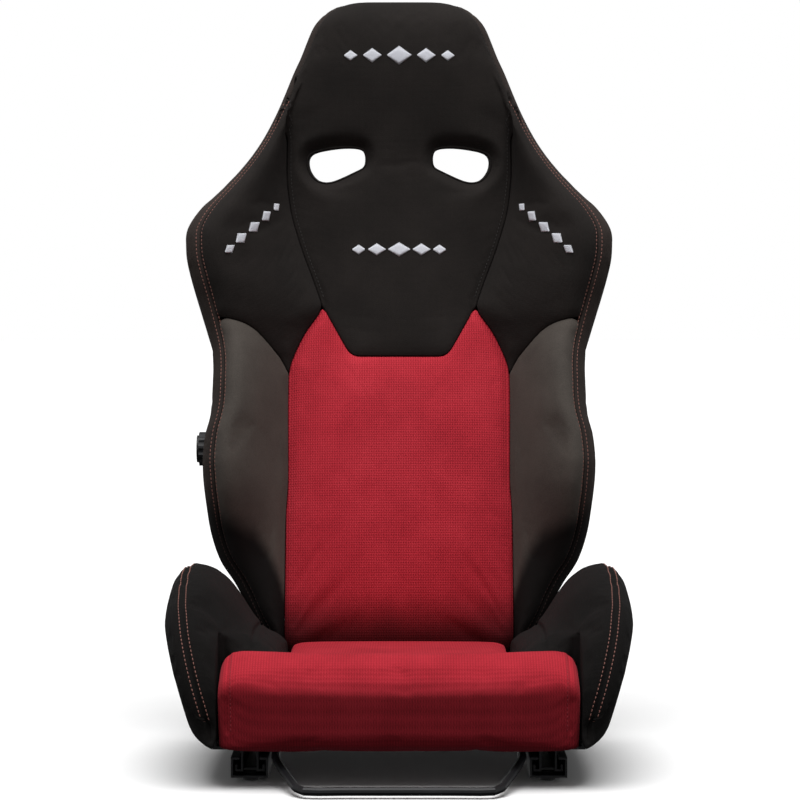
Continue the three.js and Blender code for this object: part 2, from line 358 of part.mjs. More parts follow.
// angle 0 points forward, and the lobe trails downwards, so that turning the knob swings it forward
const camPts = camRing.map(([a, r]) => [-(LUMBAR_W + r * Math.cos(a)), LUMBAR_V - r * Math.sin(a)]);
const camSlab = (x) => slabX(camPts, x - 4, x + 4);
put("lumbar_camshaft", unite(rodX(LUMBAR_SHAFT_R, -268, 186, -LUMBAR_W, LUMBAR_V, 14), camSlab(-70), camSlab(70)), M.zinc, back);
both("lumbar_bearing", box(167, 179, 7, 23, 221, 243).add(box(170, 190, 10.6, 23, 224, 240)).add(rodY(2.2, -13.2, 8, 173, 228, 10)).add(rodY(2.2, -13.2, 8, 173, 238, 10)).subtract(rodX(LUMBAR_SHAFT_R + 0.4, 160, 195, -LUMBAR_W, LUMBAR_V, 14)), M.plastic, back);
let paddle = box(-140, 140, 1.6, 4.8, 178, 288).add(box(-178.5, 178.5, -0.6, 1.8, 218, 248)); // slides on the bearings' pins
for (const x of [-173, 173]) for (const z of [228, 238]) paddle = paddle.subtract(rodY(2.7, -2, 4, x, z, 10));
put("lumbar_paddle", paddle, M.plastic, back);
const knobPts = [];
for (let i = 0; i < 48; i++) { const a = (i * 2 * Math.PI) / 48, r = i % 4 < 2 ? 22.5 : 20.6; knobPts.push([-LUMBAR_W + r * Math.cos(a), LUMBAR_V + r * Math.sin(a)]); }
let knob = slabX(knobPts, -266.5, -251.4).add(rodX(18, -269.5, -266.4, -LUMBAR_W, LUMBAR_V, 30));
knob = knob.subtract(rodX(LUMBAR_SHAFT_R + 0.3, -268.6, -250, -LUMBAR_W, LUMBAR_V, 16));
put("lumbar_knob", knob, M.plastic, back);
const camRoom = rodX(LUMBAR_SHAFT_R + 1, -280, 190, -LUMBAR_W, LUMBAR_V, 14), bearingRoom = box(160, 192, 6, 25, 218, 246);

// foam: hollow behind the middle, room for the frame, then cut along the cover seams
foam = foam.subtract(shellRoom).subtract(box(-181, 181, -14, 60, -60, 545)).subtract(hoopRoom).subtract(webRoom).subtract(camRoom).subtract(bearingRoom).subtract(mirrorX(bearingRoom));
foam = foam.subtract(rodX(SHAFT_R + 1.2, -260, 260, 0, 0, 12));
const armRoom = slabX(armOutline(0.8), 202.2, 207.7), ratchetRoom = rodX(37, 207, 225, 0, 0, 24);
for (const s of [armRoom, ratchetRoom]) foam = foam.subtract(s).subtract(mirrorX(s));
foam = foam.subtract(box(180, 204, -12, 12, -40, 10)).subtract(box(-204, -180, -12, 12, -40, 10));
shell = shell.subtract(rodX(SHAFT_R + 1.2, -260, 260, 0, 0, 12)).subtract(camRoom).subtract(hoopRoom).subtract(armRoom).subtract(mirrorX(armRoom)).subtract(ratchetRoom).subtract(mirrorX(ratchetRoom));

const prism = (pts) => solidOf(new THREE.ExtrudeGeometry(shapeOf(pts), { depth: 300, bevelEnabled: false, curveSegments: 1 }).applyMatrix4(new THREE.Matrix4().set(1, 0, 0, 0, 0, 0, -1, 90, 0, 1, 0, 0, 0, 0, 0, 1)));
const yokeEdge = (o) => [[58, 344 + o], [66, 348.5 + o], [71.5, 359 + o], [100.8, 412 + o]];
const seamUp = [440, 475, 503, 550, 600, 640, 670, 700], seamDown = [-60, 50, 128, 181, 240, 287, 321, 338, 354, 370, 382, 394, 402];
const g2 = GAP / 2;
const mirrorPts = (pts) => [...pts, ...pts.slice().reverse().filter(([u]) => u > 1e-6).map(([u, v]) => [-u, v])];
const yoke = prism(mirrorPts([[0, 344 + g2], ...yokeEdge(g2), ...seamUp.map((v) => [seamAt(v) - g2, v]), [seamAt(700) - g2, 704 + g2], [200, 704 + g2], [200, 900], [0, 900]]));
const insert = prism(mirrorPts([[0, -70], ...seamDown.map((v) => [seamU(v) - g2, v]), ...yokeEdge(-g2 * 1.5).reverse(), [0, 344 - g2]]));
const wingEdge = [...seamDown, 412, ...seamUp];
const splitAt = pchip([[100, 318], [143, 321], [153.6, 340], [188, 374], [239, 384], [320, 386]]);
const splitPts = [148, 153.6, 165, 176, 188, 210, 239, 260, 320];
const shoulder = prism([[seamU(321) + g2, 321 + g2], ...splitPts.map((u) => [u, splitAt(u) + g2]), [320, 704 - g2], [seamAt(700) + g2, 704 - g2], ...wingEdge.filter((v) => v > 322).reverse().map((v) => [seamAt(v) + g2, v])]);
const bolster = prism([[seamU(-30) + g2, -70], [320, -70], ...splitPts.slice().reverse().map((u) => [u, splitAt(u) - g2]), [seamU(321) + g2, 321 - g2], ...[287, 240, 181, 128, 50, -30].map((v) => [seamU(v) + g2, v])]);
put("backrest_yoke", biggest(foam.intersect(yoke)), M.black, back);
put("backrest_insert", biggest(foam.intersect(insert)), M.red, back);
both("backrest_shoulder", biggest(foam.intersect(shoulder)), M.black, back);
put("backrest_bolster_right", biggest(foam.intersect(bolster)), M.charcoal, back);
put("backrest_bolster_left", biggest(foam.intersect(mirrorX(bolster))), M.charcoal, back); // the knob's shaft passes through it
put("back_cover", biggest(shell), M.backing, back);

export default root;
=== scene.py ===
import json, math
import bpy, bmesh
import numpy as np
from mathutils import Vector, Matrix
from mathutils.bvhtree import BVHTree
from mathutils.geometry import delaunay_2d_cdt


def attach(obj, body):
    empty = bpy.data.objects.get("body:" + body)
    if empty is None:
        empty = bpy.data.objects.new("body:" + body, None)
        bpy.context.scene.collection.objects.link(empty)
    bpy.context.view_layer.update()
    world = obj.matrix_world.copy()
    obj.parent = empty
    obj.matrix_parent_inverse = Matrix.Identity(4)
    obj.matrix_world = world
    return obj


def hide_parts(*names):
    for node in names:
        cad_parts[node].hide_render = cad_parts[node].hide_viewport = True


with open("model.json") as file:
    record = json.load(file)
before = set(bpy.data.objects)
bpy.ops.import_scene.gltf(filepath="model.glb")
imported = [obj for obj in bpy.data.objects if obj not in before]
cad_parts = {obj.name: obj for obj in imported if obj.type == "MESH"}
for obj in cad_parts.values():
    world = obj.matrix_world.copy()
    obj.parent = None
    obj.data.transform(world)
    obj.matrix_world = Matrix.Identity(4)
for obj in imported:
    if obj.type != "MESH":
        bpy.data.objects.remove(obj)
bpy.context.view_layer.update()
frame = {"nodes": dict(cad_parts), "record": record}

scene = bpy.context.scene
RNG = np.random.default_rng(7)
SKY = (0.04, 0.16, 0.16, 0.3, 0.5)  # below, low, middle, high, overhead
SUN_EL, SUN_S, SUN_A = 74, 3.3, 50

# ------------------------------------------------------------------ curves
def pchip(pts):
    x = np.array([p[0] for p in pts], float); y = np.array([p[1] for p in pts], float)
    h = np.diff(x); d = np.diff(y) / h; m = np.zeros(len(x))
    m[0], m[-1] = d[0], d[-1]
    for i in range(1, len(x) - 1):
        if d[i - 1] * d[i] > 0:
            a = 2 * h[i] + h[i - 1]; b = h[i] + 2 * h[i - 1]
            m[i] = (a + b) / (a / d[i - 1] + b / d[i])
    def f(q):
        q = np.clip(np.asarray(q, float), x[0], x[-1])
        i = np.clip(np.searchsorted(x, q, side="right") - 1, 0, len(x) - 2)
        t = (q - x[i]) / h[i]
        return ((2 * t**3 - 3 * t**2 + 1) * y[i] + (t**3 - 2 * t**2 + t) * h[i] * m[i]
                + (-2 * t**3 + 3 * t**2) * y[i + 1] + (t**3 - t**2) * h[i] * m[i + 1])
    return f

def smooth(a, b, x):
    t = np.clip((np.asarray(x, float) - a) / (b - a), 0, 1)
    return t * t * (3 - 2 * t)

# Backrest, millimetres: u across, v up the back from the recliner axis, w forward.
SHIFT = -35.5
TILT = math.radians(12)
PIV = np.array([0.0, 195.0 + SHIFT, 150.0])
S12, C12 = math.sin(TILT), math.cos(TILT)
def B(u, v, w):  # to the row frame, metres
    u, v, w = np.broadcast_arrays(np.asarray(u, float), v, w)
    return np.stack([u, PIV[1] + v * S12 - w * C12, PIV[2] + v * C12 + w * S12], -1) / 1000.0

half_v = pchip([[-55, 158], [-46, 163], [-30, 170], [0, 188], [30, 203], [50, 214], [77, 232], [104, 241.5], [135, 248], [167, 254.5], [196, 257], [231, 254], [263, 246], [290, 242], [317, 240.3], [344, 243], [376, 251], [409, 261], [442, 270.5], [474, 277.5], [499, 278.5], [515, 273.5], [526, 267.5], [540, 257.8], [557, 242.4], [573, 229], [607, 203.2], [640, 183.2], [673, 167], [707, 153], [740, 140], [757, 132.5], [782, 123], [800, 116], [812, 109], [825, 97.5], [834, 84], [839, 71], [841.5, 58]])
front_v = pchip([[-55, 20], [-46, 34], [-30, 46], [0, 55], [50, 63], [100, 69], [150, 73], [200, 75], [250, 73], [300, 68], [350, 62], [400, 57], [450, 53], [500, 50], [550, 49], [600, 50], [650, 54], [700, 60], [750, 65], [790, 64]])
rear_v = pchip([[-55, -6], [-46, -12], [-30, -18], [0, -25], [50, -31], [100, -32], [560, -32], [600, -30], [650, -27], [700, -25], [750, -24], [790, -21]])
wing_v = pchip([[-55, 21], [-46, 36], [-30, 47], [0, 56], [40, 64], [70, 72], [95, 84], [120, 101], [145, 118], [172, 130], [200, 135], [250, 135], [300, 130], [340, 121], [370, 114], [400, 116], [440, 124], [480, 127], [520, 121], [560, 105], [600, 87], [640, 72], [680, 63], [700, 60], [740, 60], [790, 58]])
wingin_v = pchip([[-30, 18], [50, 28], [200, 32], [340, 32], [440, 42], [520, 46], [560, 36], [640, 22], [700, 17], [800, 17], [840, 14]])
seam_v = pchip([[-60, 150], [50, 148.6], [128, 146.5], [181, 143], [287, 143.7], [321, 143.5], [354, 133.5], [382, 119.5], [402, 105], [412, 100.8], [430, 106], [503, 131.6], [550, 144], [600, 149], [640, 149], [670, 145.5], [700, 138]])

# q runs up the back like v, then over the round of the head and, at the foot, under it.
head = [[790, 790, 64, 58, -21], [801, 801, 62, 56, -18], [812, 811.5, 57, 51, -13.5], [822, 820, 50.5, 45, -8], [832, 828, 43.5, 39, -1], [842, 834.5, 36, 32, 6], [850, 838.6, 29, 26.5, 12], [857, 841.2, 22.6, 21.5, 17.4], [861, 842, 19.2, 19, 18.4]]
foot = [[-72, -58.6, 7, 7.2, 6.2], [-66, -58.2, 12, 12.5, 1], [-60, -56, 20, 21, -5], [-50, -49, 31, 33, -11.5], [-40, -39.5, 39.5, 41, -15.5], [-30, -30, 46, 48, -18]]
Q0, Q1 = -72.0, 861.0
def _prof(k, base):
    f = pchip([[r[0], r[k]] for r in foot]); g = pchip([[r[0], r[k]] for r in head])
    return lambda q: np.where(q < -30, f(q), np.where(q > 790, g(q), base(q)))
Vq = _prof(1, lambda q: q)
Cq = _prof(2, front_v); Kq = _prof(3, wing_v); Rq = _prof(4, rear_v)
def Uq(q):  # the cover is pulled in a little at the waist
    v = Vq(q); return half_v(v) - 4.6 * smooth(110, 185, v) * (1 - smooth(250, 325, v)) - 1.5 * smooth(300, 350, v) * (1 - smooth(400, 460, v))

NT = 17  # anchors across half a section
def anchors(q):
    q = float(q); v = float(Vq(q)); U = float(Uq(q)); c = float(Cq(q)); k = float(Kq(q)); r = float(Rq(q))
    uk = U - min(float(wingin_v(v)), 0.45 * U)
    thin = min(1.0, (c - r) / 60.0)
    us = min(float(seam_v(min(v, 700))), uk - 1.2) if v < 700 else uk - 1.2
    c2 = c - 4.5 * thin
    pts = [[0, c], [us * 0.5, c - 0.6 * thin], [us * 0.88, c - 2.4 * thin], [us, c2]]
    for t in (0.25, 0.5, 0.75, 1.0):
        pts.append([us + (uk - us) * t, c2 + (k - c2) * (t * t * (3 - 2 * t) * 0.55 + t * 0.45)])
    d = min(42, (k - r) * 0.42)
    for a in (25, 50, 72, 90):
        a = math.radians(a); pts.append([uk + (U - uk) * math.sin(a), k - d * (1 - math.cos(a))])
    rr = min(34.0, U * 0.3); e = min(34, (k - d - r) * 0.9)
    for a in (12, 35, 62, 90):
        a = math.radians(a); pts.append([U - rr + (rr - 2.5 * thin * (1 - math.cos(a) * 0)) * math.cos(a), r + e - e * math.sin(a)])
    pts += [[(U - rr) * 0.5, r], [0, r]]
    return np.array(pts)

QS = np.unique(np.concatenate([np.arange(Q0, 790, 3.0), np.arange(790, Q1 + 0.01, 1.5), [Q1]]))
SUB = 14
def _catmull(p):  # uniform Catmull-Rom through the anchors, mirrored at both ends
    m = lambda a: a * np.array([-1, 1])
    e = np.vstack([m(p[1]), p, m(p[-2])])
    t = (np.arange(SUB) / SUB)[:, None]
    out = []
    for i in range(1, len(e) - 2):
        a, b, c, d = e[i - 1], e[i], e[i + 1], e[i + 2]
        out.append(0.5 * (2 * b + (c - a) * t + (2 * a - 5 * b + 4 * c - d) * t**2 + (3 * b - 3 * c + d - a) * t**3))
    return np.vstack(out + [p[-1:]])
TAB = np.stack([_catmull(anchors(q)) for q in QS])  # rows x samples x (u, w)
# soften the sections along q a little
for _ in range(2):
    TAB[1:-1] = 0.25 * TAB[:-2] + 0.5 * TAB[1:-1] + 0.25 * TAB[2:]
SEG = np.concatenate([np.zeros((len(QS), 1)), np.cumsum(np.linalg.norm(np.diff(TAB, axis=1), axis=2), axis=1)], 1)
TOT = SEG[:, -1]
def _row(q):
    q = np.clip(q, Q0, Q1); i = np.clip(np.searchsorted(QS, q, side="right") - 1, 0, len(QS) - 2)
    return i, (q - QS[i]) / (QS[i + 1] - QS[i])
def s_at(tau, q):  # distance along the section from the middle, at anchor tau
    i, f = _row(q); k = tau * SUB; a = int(k); g = k - a
    get = lambda r: SEG[r, a] + (SEG[r, min(a + 1, SEG.shape[1] - 1)] - SEG[r, a]) * g
    return get(i) * (1 - f) + get(i + 1) * f
def s_of_u(u, q):  # on the front, from the middle out to the crest
    i, f = _row(q); n = 9 * SUB
    get = lambda r: np.interp(u, TAB[r, :n, 0], SEG[r, :n])
    return float(get(i) * (1 - f) + get(i + 1) * f)
def tot_at(q):
    i, f = _row(q); return TOT[i] * (1 - f) + TOT[i + 1] * f
def sec(s, q):  # (u, w, v), s may be negative for the other side
    i, f = _row(q); sg = -1.0 if s < 0 else 1.0; s = abs(s)
    u0 = np.interp(s, SEG[i], TAB[i, :, 0]); w0 = np.interp(s, SEG[i], TAB[i, :, 1])
    u1 = np.interp(s, SEG[i + 1], TAB[i + 1, :, 0]); w1 = np.interp(s, SEG[i + 1], TAB[i + 1, :, 1])
    return sg * (u0 * (1 - f) + u1 * f), w0 * (1 - f) + w1 * f, float(Vq(q))
KT = 900
_UT = np.stack([np.interp(np.linspace(0, TOT[r], KT), SEG[r], TAB[r, :, 0]) for r in range(len(QS))])
_WT = np.stack([np.interp(np.linspace(0, TOT[r], KT), SEG[r], TAB[r, :, 1]) for r in range(len(QS))])
def sec_many(S, Q):
    S = np.asarray(S, float); q = np.clip(np.asarray(Q, float), Q0, Q1)
    i = np.clip(np.searchsorted(QS, q, side="right") - 1, 0, len(QS) - 2); f = (q - QS[i]) / (QS[i + 1] - QS[i])
    sg = np.where(S < 0, -1.0, 1.0); a = np.abs(S)
    def at(r):
        x = np.clip(a / TOT[r], 0, 1) * (KT - 1); k = np.minimum(x.astype(int), KT - 2); g = x - k
        return _UT[r, k] * (1 - g) + _UT[r, k + 1] * g, _WT[r, k] * (1 - g) + _WT[r, k + 1] * g
    (u0, w0), (u1, w1) = at(i), at(i + 1)
    return B(sg * (u0 * (1 - f) + u1 * f), Vq(q), w0 * (1 - f) + w1 * f)
def surf(S, Q, rear=False):
    """World points and outward normals at (s, q); on the rear, s is measured from the middle of the back."""
    S = np.asarray(S, float); Q = np.clip(np.asarray(Q, float), Q0, Q1)
    if rear:
        sg = np.where(S < 0, -1.0, 1.0)
        f = lambda s, q: sec_many(sg * (np.interp(q, QS, TOT) - np.abs(s)), q)
    else:
        f = sec_many
    P = f(S, Q); e = 1.5
    if rear:
        Sa = np.where(np.abs(S) < 2, np.where(S < 0, -2.0, 2.0), S)
        ds = f(Sa + e * np.sign(Sa), Q) - f(Sa - e * np.sign(Sa), Q)
        ds *= np.sign(Sa)[:, None]
    else:
        ds = f(S + e, Q) - f(S - e, Q)
    dq = f(S, np.clip(Q + e, Q0, Q1)) - f(S, np.clip(Q - e, Q0, Q1))
    N = np.cross(ds, dq)
    if rear: N = -N
    L = np.linalg.norm(N, axis=1); L[L < 1e-12] = 1
    return P, N / L[:, None]

# ------------------------------------------------------------------ meshes
def new_object(name, verts, faces, uvs=None, smooth_faces=True):
    me = bpy.data.meshes.new(name)
    me.from_pydata([tuple(map(float, v)) for v in verts], [], [tuple(map(int, f)) for f in faces])
    me.update()
    if uvs is not None:
        layer = me.uv_layers.new(name="cloth")
        idx = np.empty(len(me.loops), int); me.loops.foreach_get("vertex_index", idx)
        layer.data.foreach_set("uv", np.asarray(uvs, float)[idx].ravel())
    if smooth_faces:
        me.polygons.foreach_set("use_smooth", [True] * len(me.polygons))
    o = bpy.data.objects.new(name, me)
    scene.collection.objects.link(o)
    return o

def resample(pts, step, close=True):
    p = np.asarray(pts, float)
    if close: p = np.vstack([p, p[:1]])
    L = np.concatenate([[0], np.cumsum(np.linalg.norm(np.diff(p, axis=0), axis=1))])
    n = max(3, int(round(L[-1] / step)))
    t = np.linspace(0, L[-1], n + 1)
    out = np.stack([np.interp(t, L, p[:, 0]), np.interp(t, L, p[:, 1])], 1)
    return out[:-1] if close else out

def seg_dist(P, poly):
    """Distance from points to a closed polyline."""
    a = poly; b = np.roll(poly, -1, axis=0); best = np.full(len(P), 1e9)
    for k in range(0, len(P), 2000):
        p = P[k:k + 2000, None, :]; ab = (b - a)[None]; t = np.clip(((p - a[None]) * ab).sum(-1) / np.maximum((ab**2).sum(-1), 1e-9), 0, 1)
        best[k:k + 2000] = np.linalg.norm(p - (a[None] + t[..., None] * ab), axis=-1).min(1)
    return best

def inside(P, poly):
    x, y = P[:, 0], P[:, 1]; r = np.zeros(len(P), bool); a = poly; b = np.roll(poly, -1, axis=0)
    for (x0, y0), (x1, y1) in zip(a, b):
        if y0 == y1: continue
        c = ((y0 > y) != (y1 > y)) & (x < (x1 - x0) * (y - y0) / (y1 - y0) + x0)
        r ^= c
    return r

def area2(p):
    return 0.5 * np.sum(p[:, 0] * np.roll(p[:, 1], -1) - np.roll(p[:, 0], -1) * p[:, 1])

def panel(name, outline, holes=(), rear=False, step=6.0, crown=3.5, dip=3.6, thick=14.0, hole_dip=11.0, hole_soft=9.0, extra=None, soften=4.5, crown_len=20.0):
    """A padded panel on the backrest's surface: a closed body between a crowned front and a flat inner face.
    outline and holes are in (s, q); the front sinks to the seam along its outline and rolls in at a hole."""
    out = resample(outline, step)
    if area2(out) < 0: out = out[::-1]
    hs = []
    for h in holes:
        h = resample(h, 4.0)
        hs.append(h[::-1] if area2(h) > 0 else h)
    loops = [out] + hs
    lo_, hi_ = out.min(0), out.max(0)
    dx = step; dy = step * math.sqrt(3) / 2
    g = []
    for j, y in enumerate(np.arange(lo_[1], hi_[1], dy)):
        g.append(np.stack([np.arange(lo_[0] + (j % 2) * dx / 2, hi_[0], dx), np.full(len(np.arange(lo_[0] + (j % 2) * dx / 2, hi_[0], dx)), y)], 1))
    g = np.vstack(g)
    ok = inside(g, out) & (seg_dist(g, out) > 6.6)
    for h in hs: ok &= (~inside(g, h)) & (seg_dist(g, h) > 8.5)
    g = g[ok]
    ins = []
    for li, L in enumerate(loops):  # rows that follow the edge, so that the seam reads as a round fold
        t = np.roll(L, -1, axis=0) - np.roll(L, 1, axis=0); t /= np.maximum(np.linalg.norm(t, axis=1), 1e-9)[:, None]
        n = np.stack([-t[:, 1], t[:, 0]], 1)
        for off in ((1.6, 3.9) if li == 0 else (1.4, 3.2, 5.8)):
            p = L + n * off
            k = inside(p, out) & (seg_dist(p, out) > off * 0.82 if li == 0 else seg_dist(p, L) > off * 0.82)
            for j, h in enumerate(hs):
                k &= ~inside(p, h)
                if li == 0: k &= seg_dist(p, h) > 8.5
            if li > 0: k &= seg_dist(p, out) > 6.6
            ins.append(p[k])
    inner = np.vstack([g] + ins)
    # keep points apart
    cell = {}
    keep = []
    for i, p in enumerate(inner[::-1]):
        c = (int(p[0] // 1.3), int(p[1] // 1.3))
        if any((c[0] + a, c[1] + b) in cell and np.hypot(*(p - cell[(c[0] + a, c[1] + b)])) < 1.25 for a in (-1, 0, 1) for b in (-1, 0, 1)): continue
        cell[c] = p; keep.append(p)
    inner = np.array(keep)
    pts = np.vstack(loops + [inner])
    edges = []; base = 0
    for L in loops:
        n = len(L); edges += [(base + i, base + (i + 1) % n) for i in range(n)]; base += n
    vv, ee, ff, ov, oe, of_ = delaunay_2d_cdt([Vector(p) for p in pts], edges, [], 0, 1e-6)
    P2 = np.array([[p.x, p.y] for p in vv])
    tri = np.array([f[:3] for f in ff if len(f) == 3])
    cen = P2[tri].mean(1)
    ok = inside(cen, out)
    for h in hs: ok &= ~inside(cen, h)
    tri = tri[ok]
    ar = np.cross(P2[tri[:, 1]] - P2[tri[:, 0]], P2[tri[:, 2]] - P2[tri[:, 0]])
    tri = tri[np.abs(ar) > 1e-6]; ar = ar[np.abs(ar) > 1e-6]
    tri[ar < 0] = tri[ar < 0][:, ::-1]
    used = np.unique(tri); remap = -np.ones(len(P2), int); remap[used] = np.arange(len(used)); tri = remap[tri]; P2 = P2[used]
    S, Q = P2[:, 0], P2[:, 1]
    P, N = surf(S, Q, rear)
    d = seg_dist(P2, out)
    disp = -dip * np.exp(-(d / soften) ** 1.3) + crown * (1 - np.exp(-(d / crown_len) ** 1.5))
    room = np.array([float(Cq(q) - Rq(q)) for q in Q])
    thin = np.clip(room / 55.0, 0.12, 1.0)
    disp = disp * thin
    for h in hs:
        dh = seg_dist(P2, h); disp -= hole_dip * np.exp(-(dh / hole_soft) ** 1.6)
        disp += 1.6 * np.exp(-((dh - 15) / 6.0) ** 2)
    if extra is not None: disp = disp + extra(S, Q, d)
    T = np.clip(room * 0.36, 1.2, thick)
    n = len(P2)
    Fr = P + N * (disp / 1000.0)[:, None]
    Bk = P - N * (T / 1000.0)[:, None]
    for h in hs:
        dh = seg_dist(P2, h); Bk -= N * (np.where(dh < 12, 1, 0) * hole_dip * 0.8 / 1000.0)[:, None]
    # boundary edges
    cnt = {}
    for a, b, c in tri:
        for x, y in ((a, b), (b, c), (c, a)): cnt[(x, y)] = cnt.get((x, y), 0) + 1
    bd = [(a, b) for (a, b) in cnt if (b, a) not in cnt]
    faces = [tuple(f) for f in tri] + [(f[0] + n, f[2] + n, f[1] + n) for f in tri] + [(b, a, a + n, b + n) for a, b in bd]
    uv = np.vstack([P2, P2]) / 1000.0
    o = new_object(name, np.vstack([Fr, Bk]), faces, uv)
    fix_normals(o)
    dall = d.copy()
    for h in hs: dall = np.minimum(dall, seg_dist(P2, h))
    return o, dict(P2=P2, N=N, n=n, d=dall, disp=disp, base=P, front=Fr)

def fix_normals(o):
    bm = bmesh.new(); bm.from_mesh(o.data)
    bmesh.ops.recalc_face_normals(bm, faces=bm.faces)
    bm.to_mesh(o.data); bm.free(); o.data.update()

def coords(o):
    a = np.empty(len(o.data.vertices) * 3); o.data.vertices.foreach_get("co", a); return a.reshape(-1, 3)
def set_coords(o, a):
    o.data.vertices.foreach_set("co", np.asarray(a, float).ravel()); o.data.update()

def inflate(o, cap, pressure=4.0, pin=None, frames=20, tension=18.0, bending=0.6, keep=0.0):
    """Cloth under pressure, applied; no point moves further than cap (metres)."""
    before = coords(o)
    if pin is not None:
        vg = o.vertex_groups.new(name="pin"); vg.add([int(i) for i in pin], 1.0, "REPLACE")
    m = o.modifiers.new("cloth", "CLOTH"); st = m.settings
    st.quality = 5; st.mass = 0.25; st.tension_stiffness = tension; st.compression_stiffness = tension; st.shear_stiffness = 6; st.bending_stiffness = bending
    st.use_pressure = True; st.uniform_pressure_force = pressure; st.effector_weights.gravity = 0.0
    if pin is not None: st.vertex_group_mass = "pin"
    m.collision_settings.use_collision = False; m.collision_settings.use_self_collision = False
    m.point_cache.frame_start = 1; m.point_cache.frame_end = frames
    for f in range(1, frames + 1): scene.frame_set(f)
    dg = bpy.context.evaluated_depsgraph_get(); ev = o.evaluated_get(dg).to_mesh()
    a = np.empty(len(ev.vertices) * 3); ev.vertices.foreach_get("co", a); a = a.reshape(-1, 3)
    o.evaluated_get(dg).to_mesh_clear()
    o.modifiers.remove(m)
    if pin is not None: o.vertex_groups.clear()
    scene.frame_set(1)
    d = a - before; L = np.linalg.norm(d, axis=1); L[L < 1e-9] = 1e-9
    d *= (cap * np.tanh(L / cap) / L)[:, None]
    if not np.isfinite(d).all(): return
    if keep:  # a closed pad keeps its size: its flats crown and its edges pull in
        me = o.data; N = np.array([v.normal for v in me.vertices]); out = (d * N).sum(1)
        d -= N * (keep * out.mean())
    set_coords(o, before + d)

# ------------------------------------------------------------------ materials
def rgb(r, g, b):  # sRGB bytes to linear
    f = lambda c: (c / 255 / 12.92) if c / 255 <= 0.04045 else ((c / 255 + 0.055) / 1.055) ** 2.4
    return (f(r), f(g), f(b), 1.0)

class Mat:
    def __init__(s, name):
        s.m = bpy.data.materials.new(name); s.m.use_nodes = True
        s.nt = s.m.node_tree; s.nt.nodes.clear()
        s.out = s.n("ShaderNodeOutputMaterial"); s.p = s.n("ShaderNodeBsdfPrincipled")
        s.nt.links.new(s.p.outputs[0], s.out.inputs[0])
    def n(s, kind, **kw):
        x = s.nt.nodes.new(kind)
        for k, v in kw.items(): setattr(x, k, v)
        return x
    def link(s, a, b): s.nt.links.new(a, b)
    def math(s, op, a, b=None, clamp=False):
        x = s.n("ShaderNodeMath", operation=op, use_clamp=clamp)
        for i, v in enumerate((a, b)):
            if v is None: continue
            if isinstance(v, (int, float)): x.inputs[i].default_value = v
            else: s.link(v, x.inputs[i])
        return x.outputs[0]
    def uv(s, scale=1.0):
        a = s.n("ShaderNodeUVMap"); a.uv_map = "cloth"
        b = s.n("ShaderNodeVectorMath", operation="SCALE"); b.inputs[3].default_value = scale
        s.link(a.outputs[0], b.inputs[0]); return b.outputs[0]
    def obj(s, scale=1.0):
        a = s.n("ShaderNodeTexCoord")
        b = s.n("ShaderNodeVectorMath", operation="SCALE"); b.inputs[3].default_value = scale
        s.link(a.outputs["Object"], b.inputs[0]); return b.outputs[0]
    def noise(s, vec, scale, detail=3.0, rough=0.55):
        x = s.n("ShaderNodeTexNoise"); x.inputs["Scale"].default_value = scale; x.inputs["Detail"].default_value = detail; x.inputs["Roughness"].default_value = rough
        s.link(vec, x.inputs["Vector"]); return x.outputs["Fac"]
    def ramp(s, fac, stops):
        x = s.n("ShaderNodeValToRGB"); e = x.color_ramp.elements
        e[0].position, e[0].color = stops[0]; e[1].position, e[1].color = stops[-1]
        for p, c in stops[1:-1]:
            k = e.new(p); k.color = c
        s.link(fac, x.inputs[0]); return x.outputs[0]
    def mixc(s, fac, a, b):
        x = s.n("ShaderNodeMix", data_type="RGBA")
        for i, v in ((0, fac), (6, a), (7, b)):
            if isinstance(v, (int, float)): x.inputs[i].default_value = v
            elif isinstance(v, tuple): x.inputs[i].default_value = v
            else: s.link(v, x.inputs[i])
        return x.outputs[2]
    def bump(s, height, dist, strength=1.0, normal=None):
        x = s.n("ShaderNodeBump"); x.inputs["Strength"].default_value = strength; x.inputs["Distance"].default_value = dist
        s.link(height, x.inputs["Height"])
        if normal is not None: s.link(normal, x.inputs["Normal"])
        return x.outputs[0]
    def fade(s, ob, pts, to, soft=(-0.018, 0.022)):
        """Painted shade: 1 above a soft line given as (half width, height) on the object, falling to `to` below it; the
        colour is darkened there to stand in for shade.
        """
        fx, fy, fz = s.sep(ob); lo_, hi_ = min(z for x, z in pts), max(z for x, z in pts)
        line = s.ramp(s.math("MULTIPLY", s.math("ABSOLUTE", fx), 1 / 0.3), [(x / 0.3, ((z - lo_) / (hi_ - lo_),) * 3 + (1,)) for x, z in pts])
        line = s.math("ADD", s.math("MULTIPLY", line, hi_ - lo_), lo_)
        wob = s.math("MULTIPLY", s.math("SUBTRACT", s.noise(ob, 30, 2), 0.5), 0.012)
        mr = s.n("ShaderNodeMapRange"); mr.interpolation_type = "SMOOTHSTEP"
        s.link(s.math("SUBTRACT", s.math("ADD", fz, wob), line), mr.inputs["Value"])
        for n_, v_ in (("From Min", soft[0]), ("From Max", soft[1]), ("To Min", to), ("To Max", 1.0)): mr.inputs[n_].default_value = v_
        return mr.outputs[0]
    def sep(s, v):
        x = s.n("ShaderNodeSeparateXYZ"); s.link(v, x.inputs[0]); return x.outputs
    def set(s, **kw):
        for k, v in kw.items():
            k = k.replace("_", " ")
            if isinstance(v, (int, float, tuple)): s.p.inputs[k].default_value = v
            else: s.link(v, s.p.inputs[k])
        return s

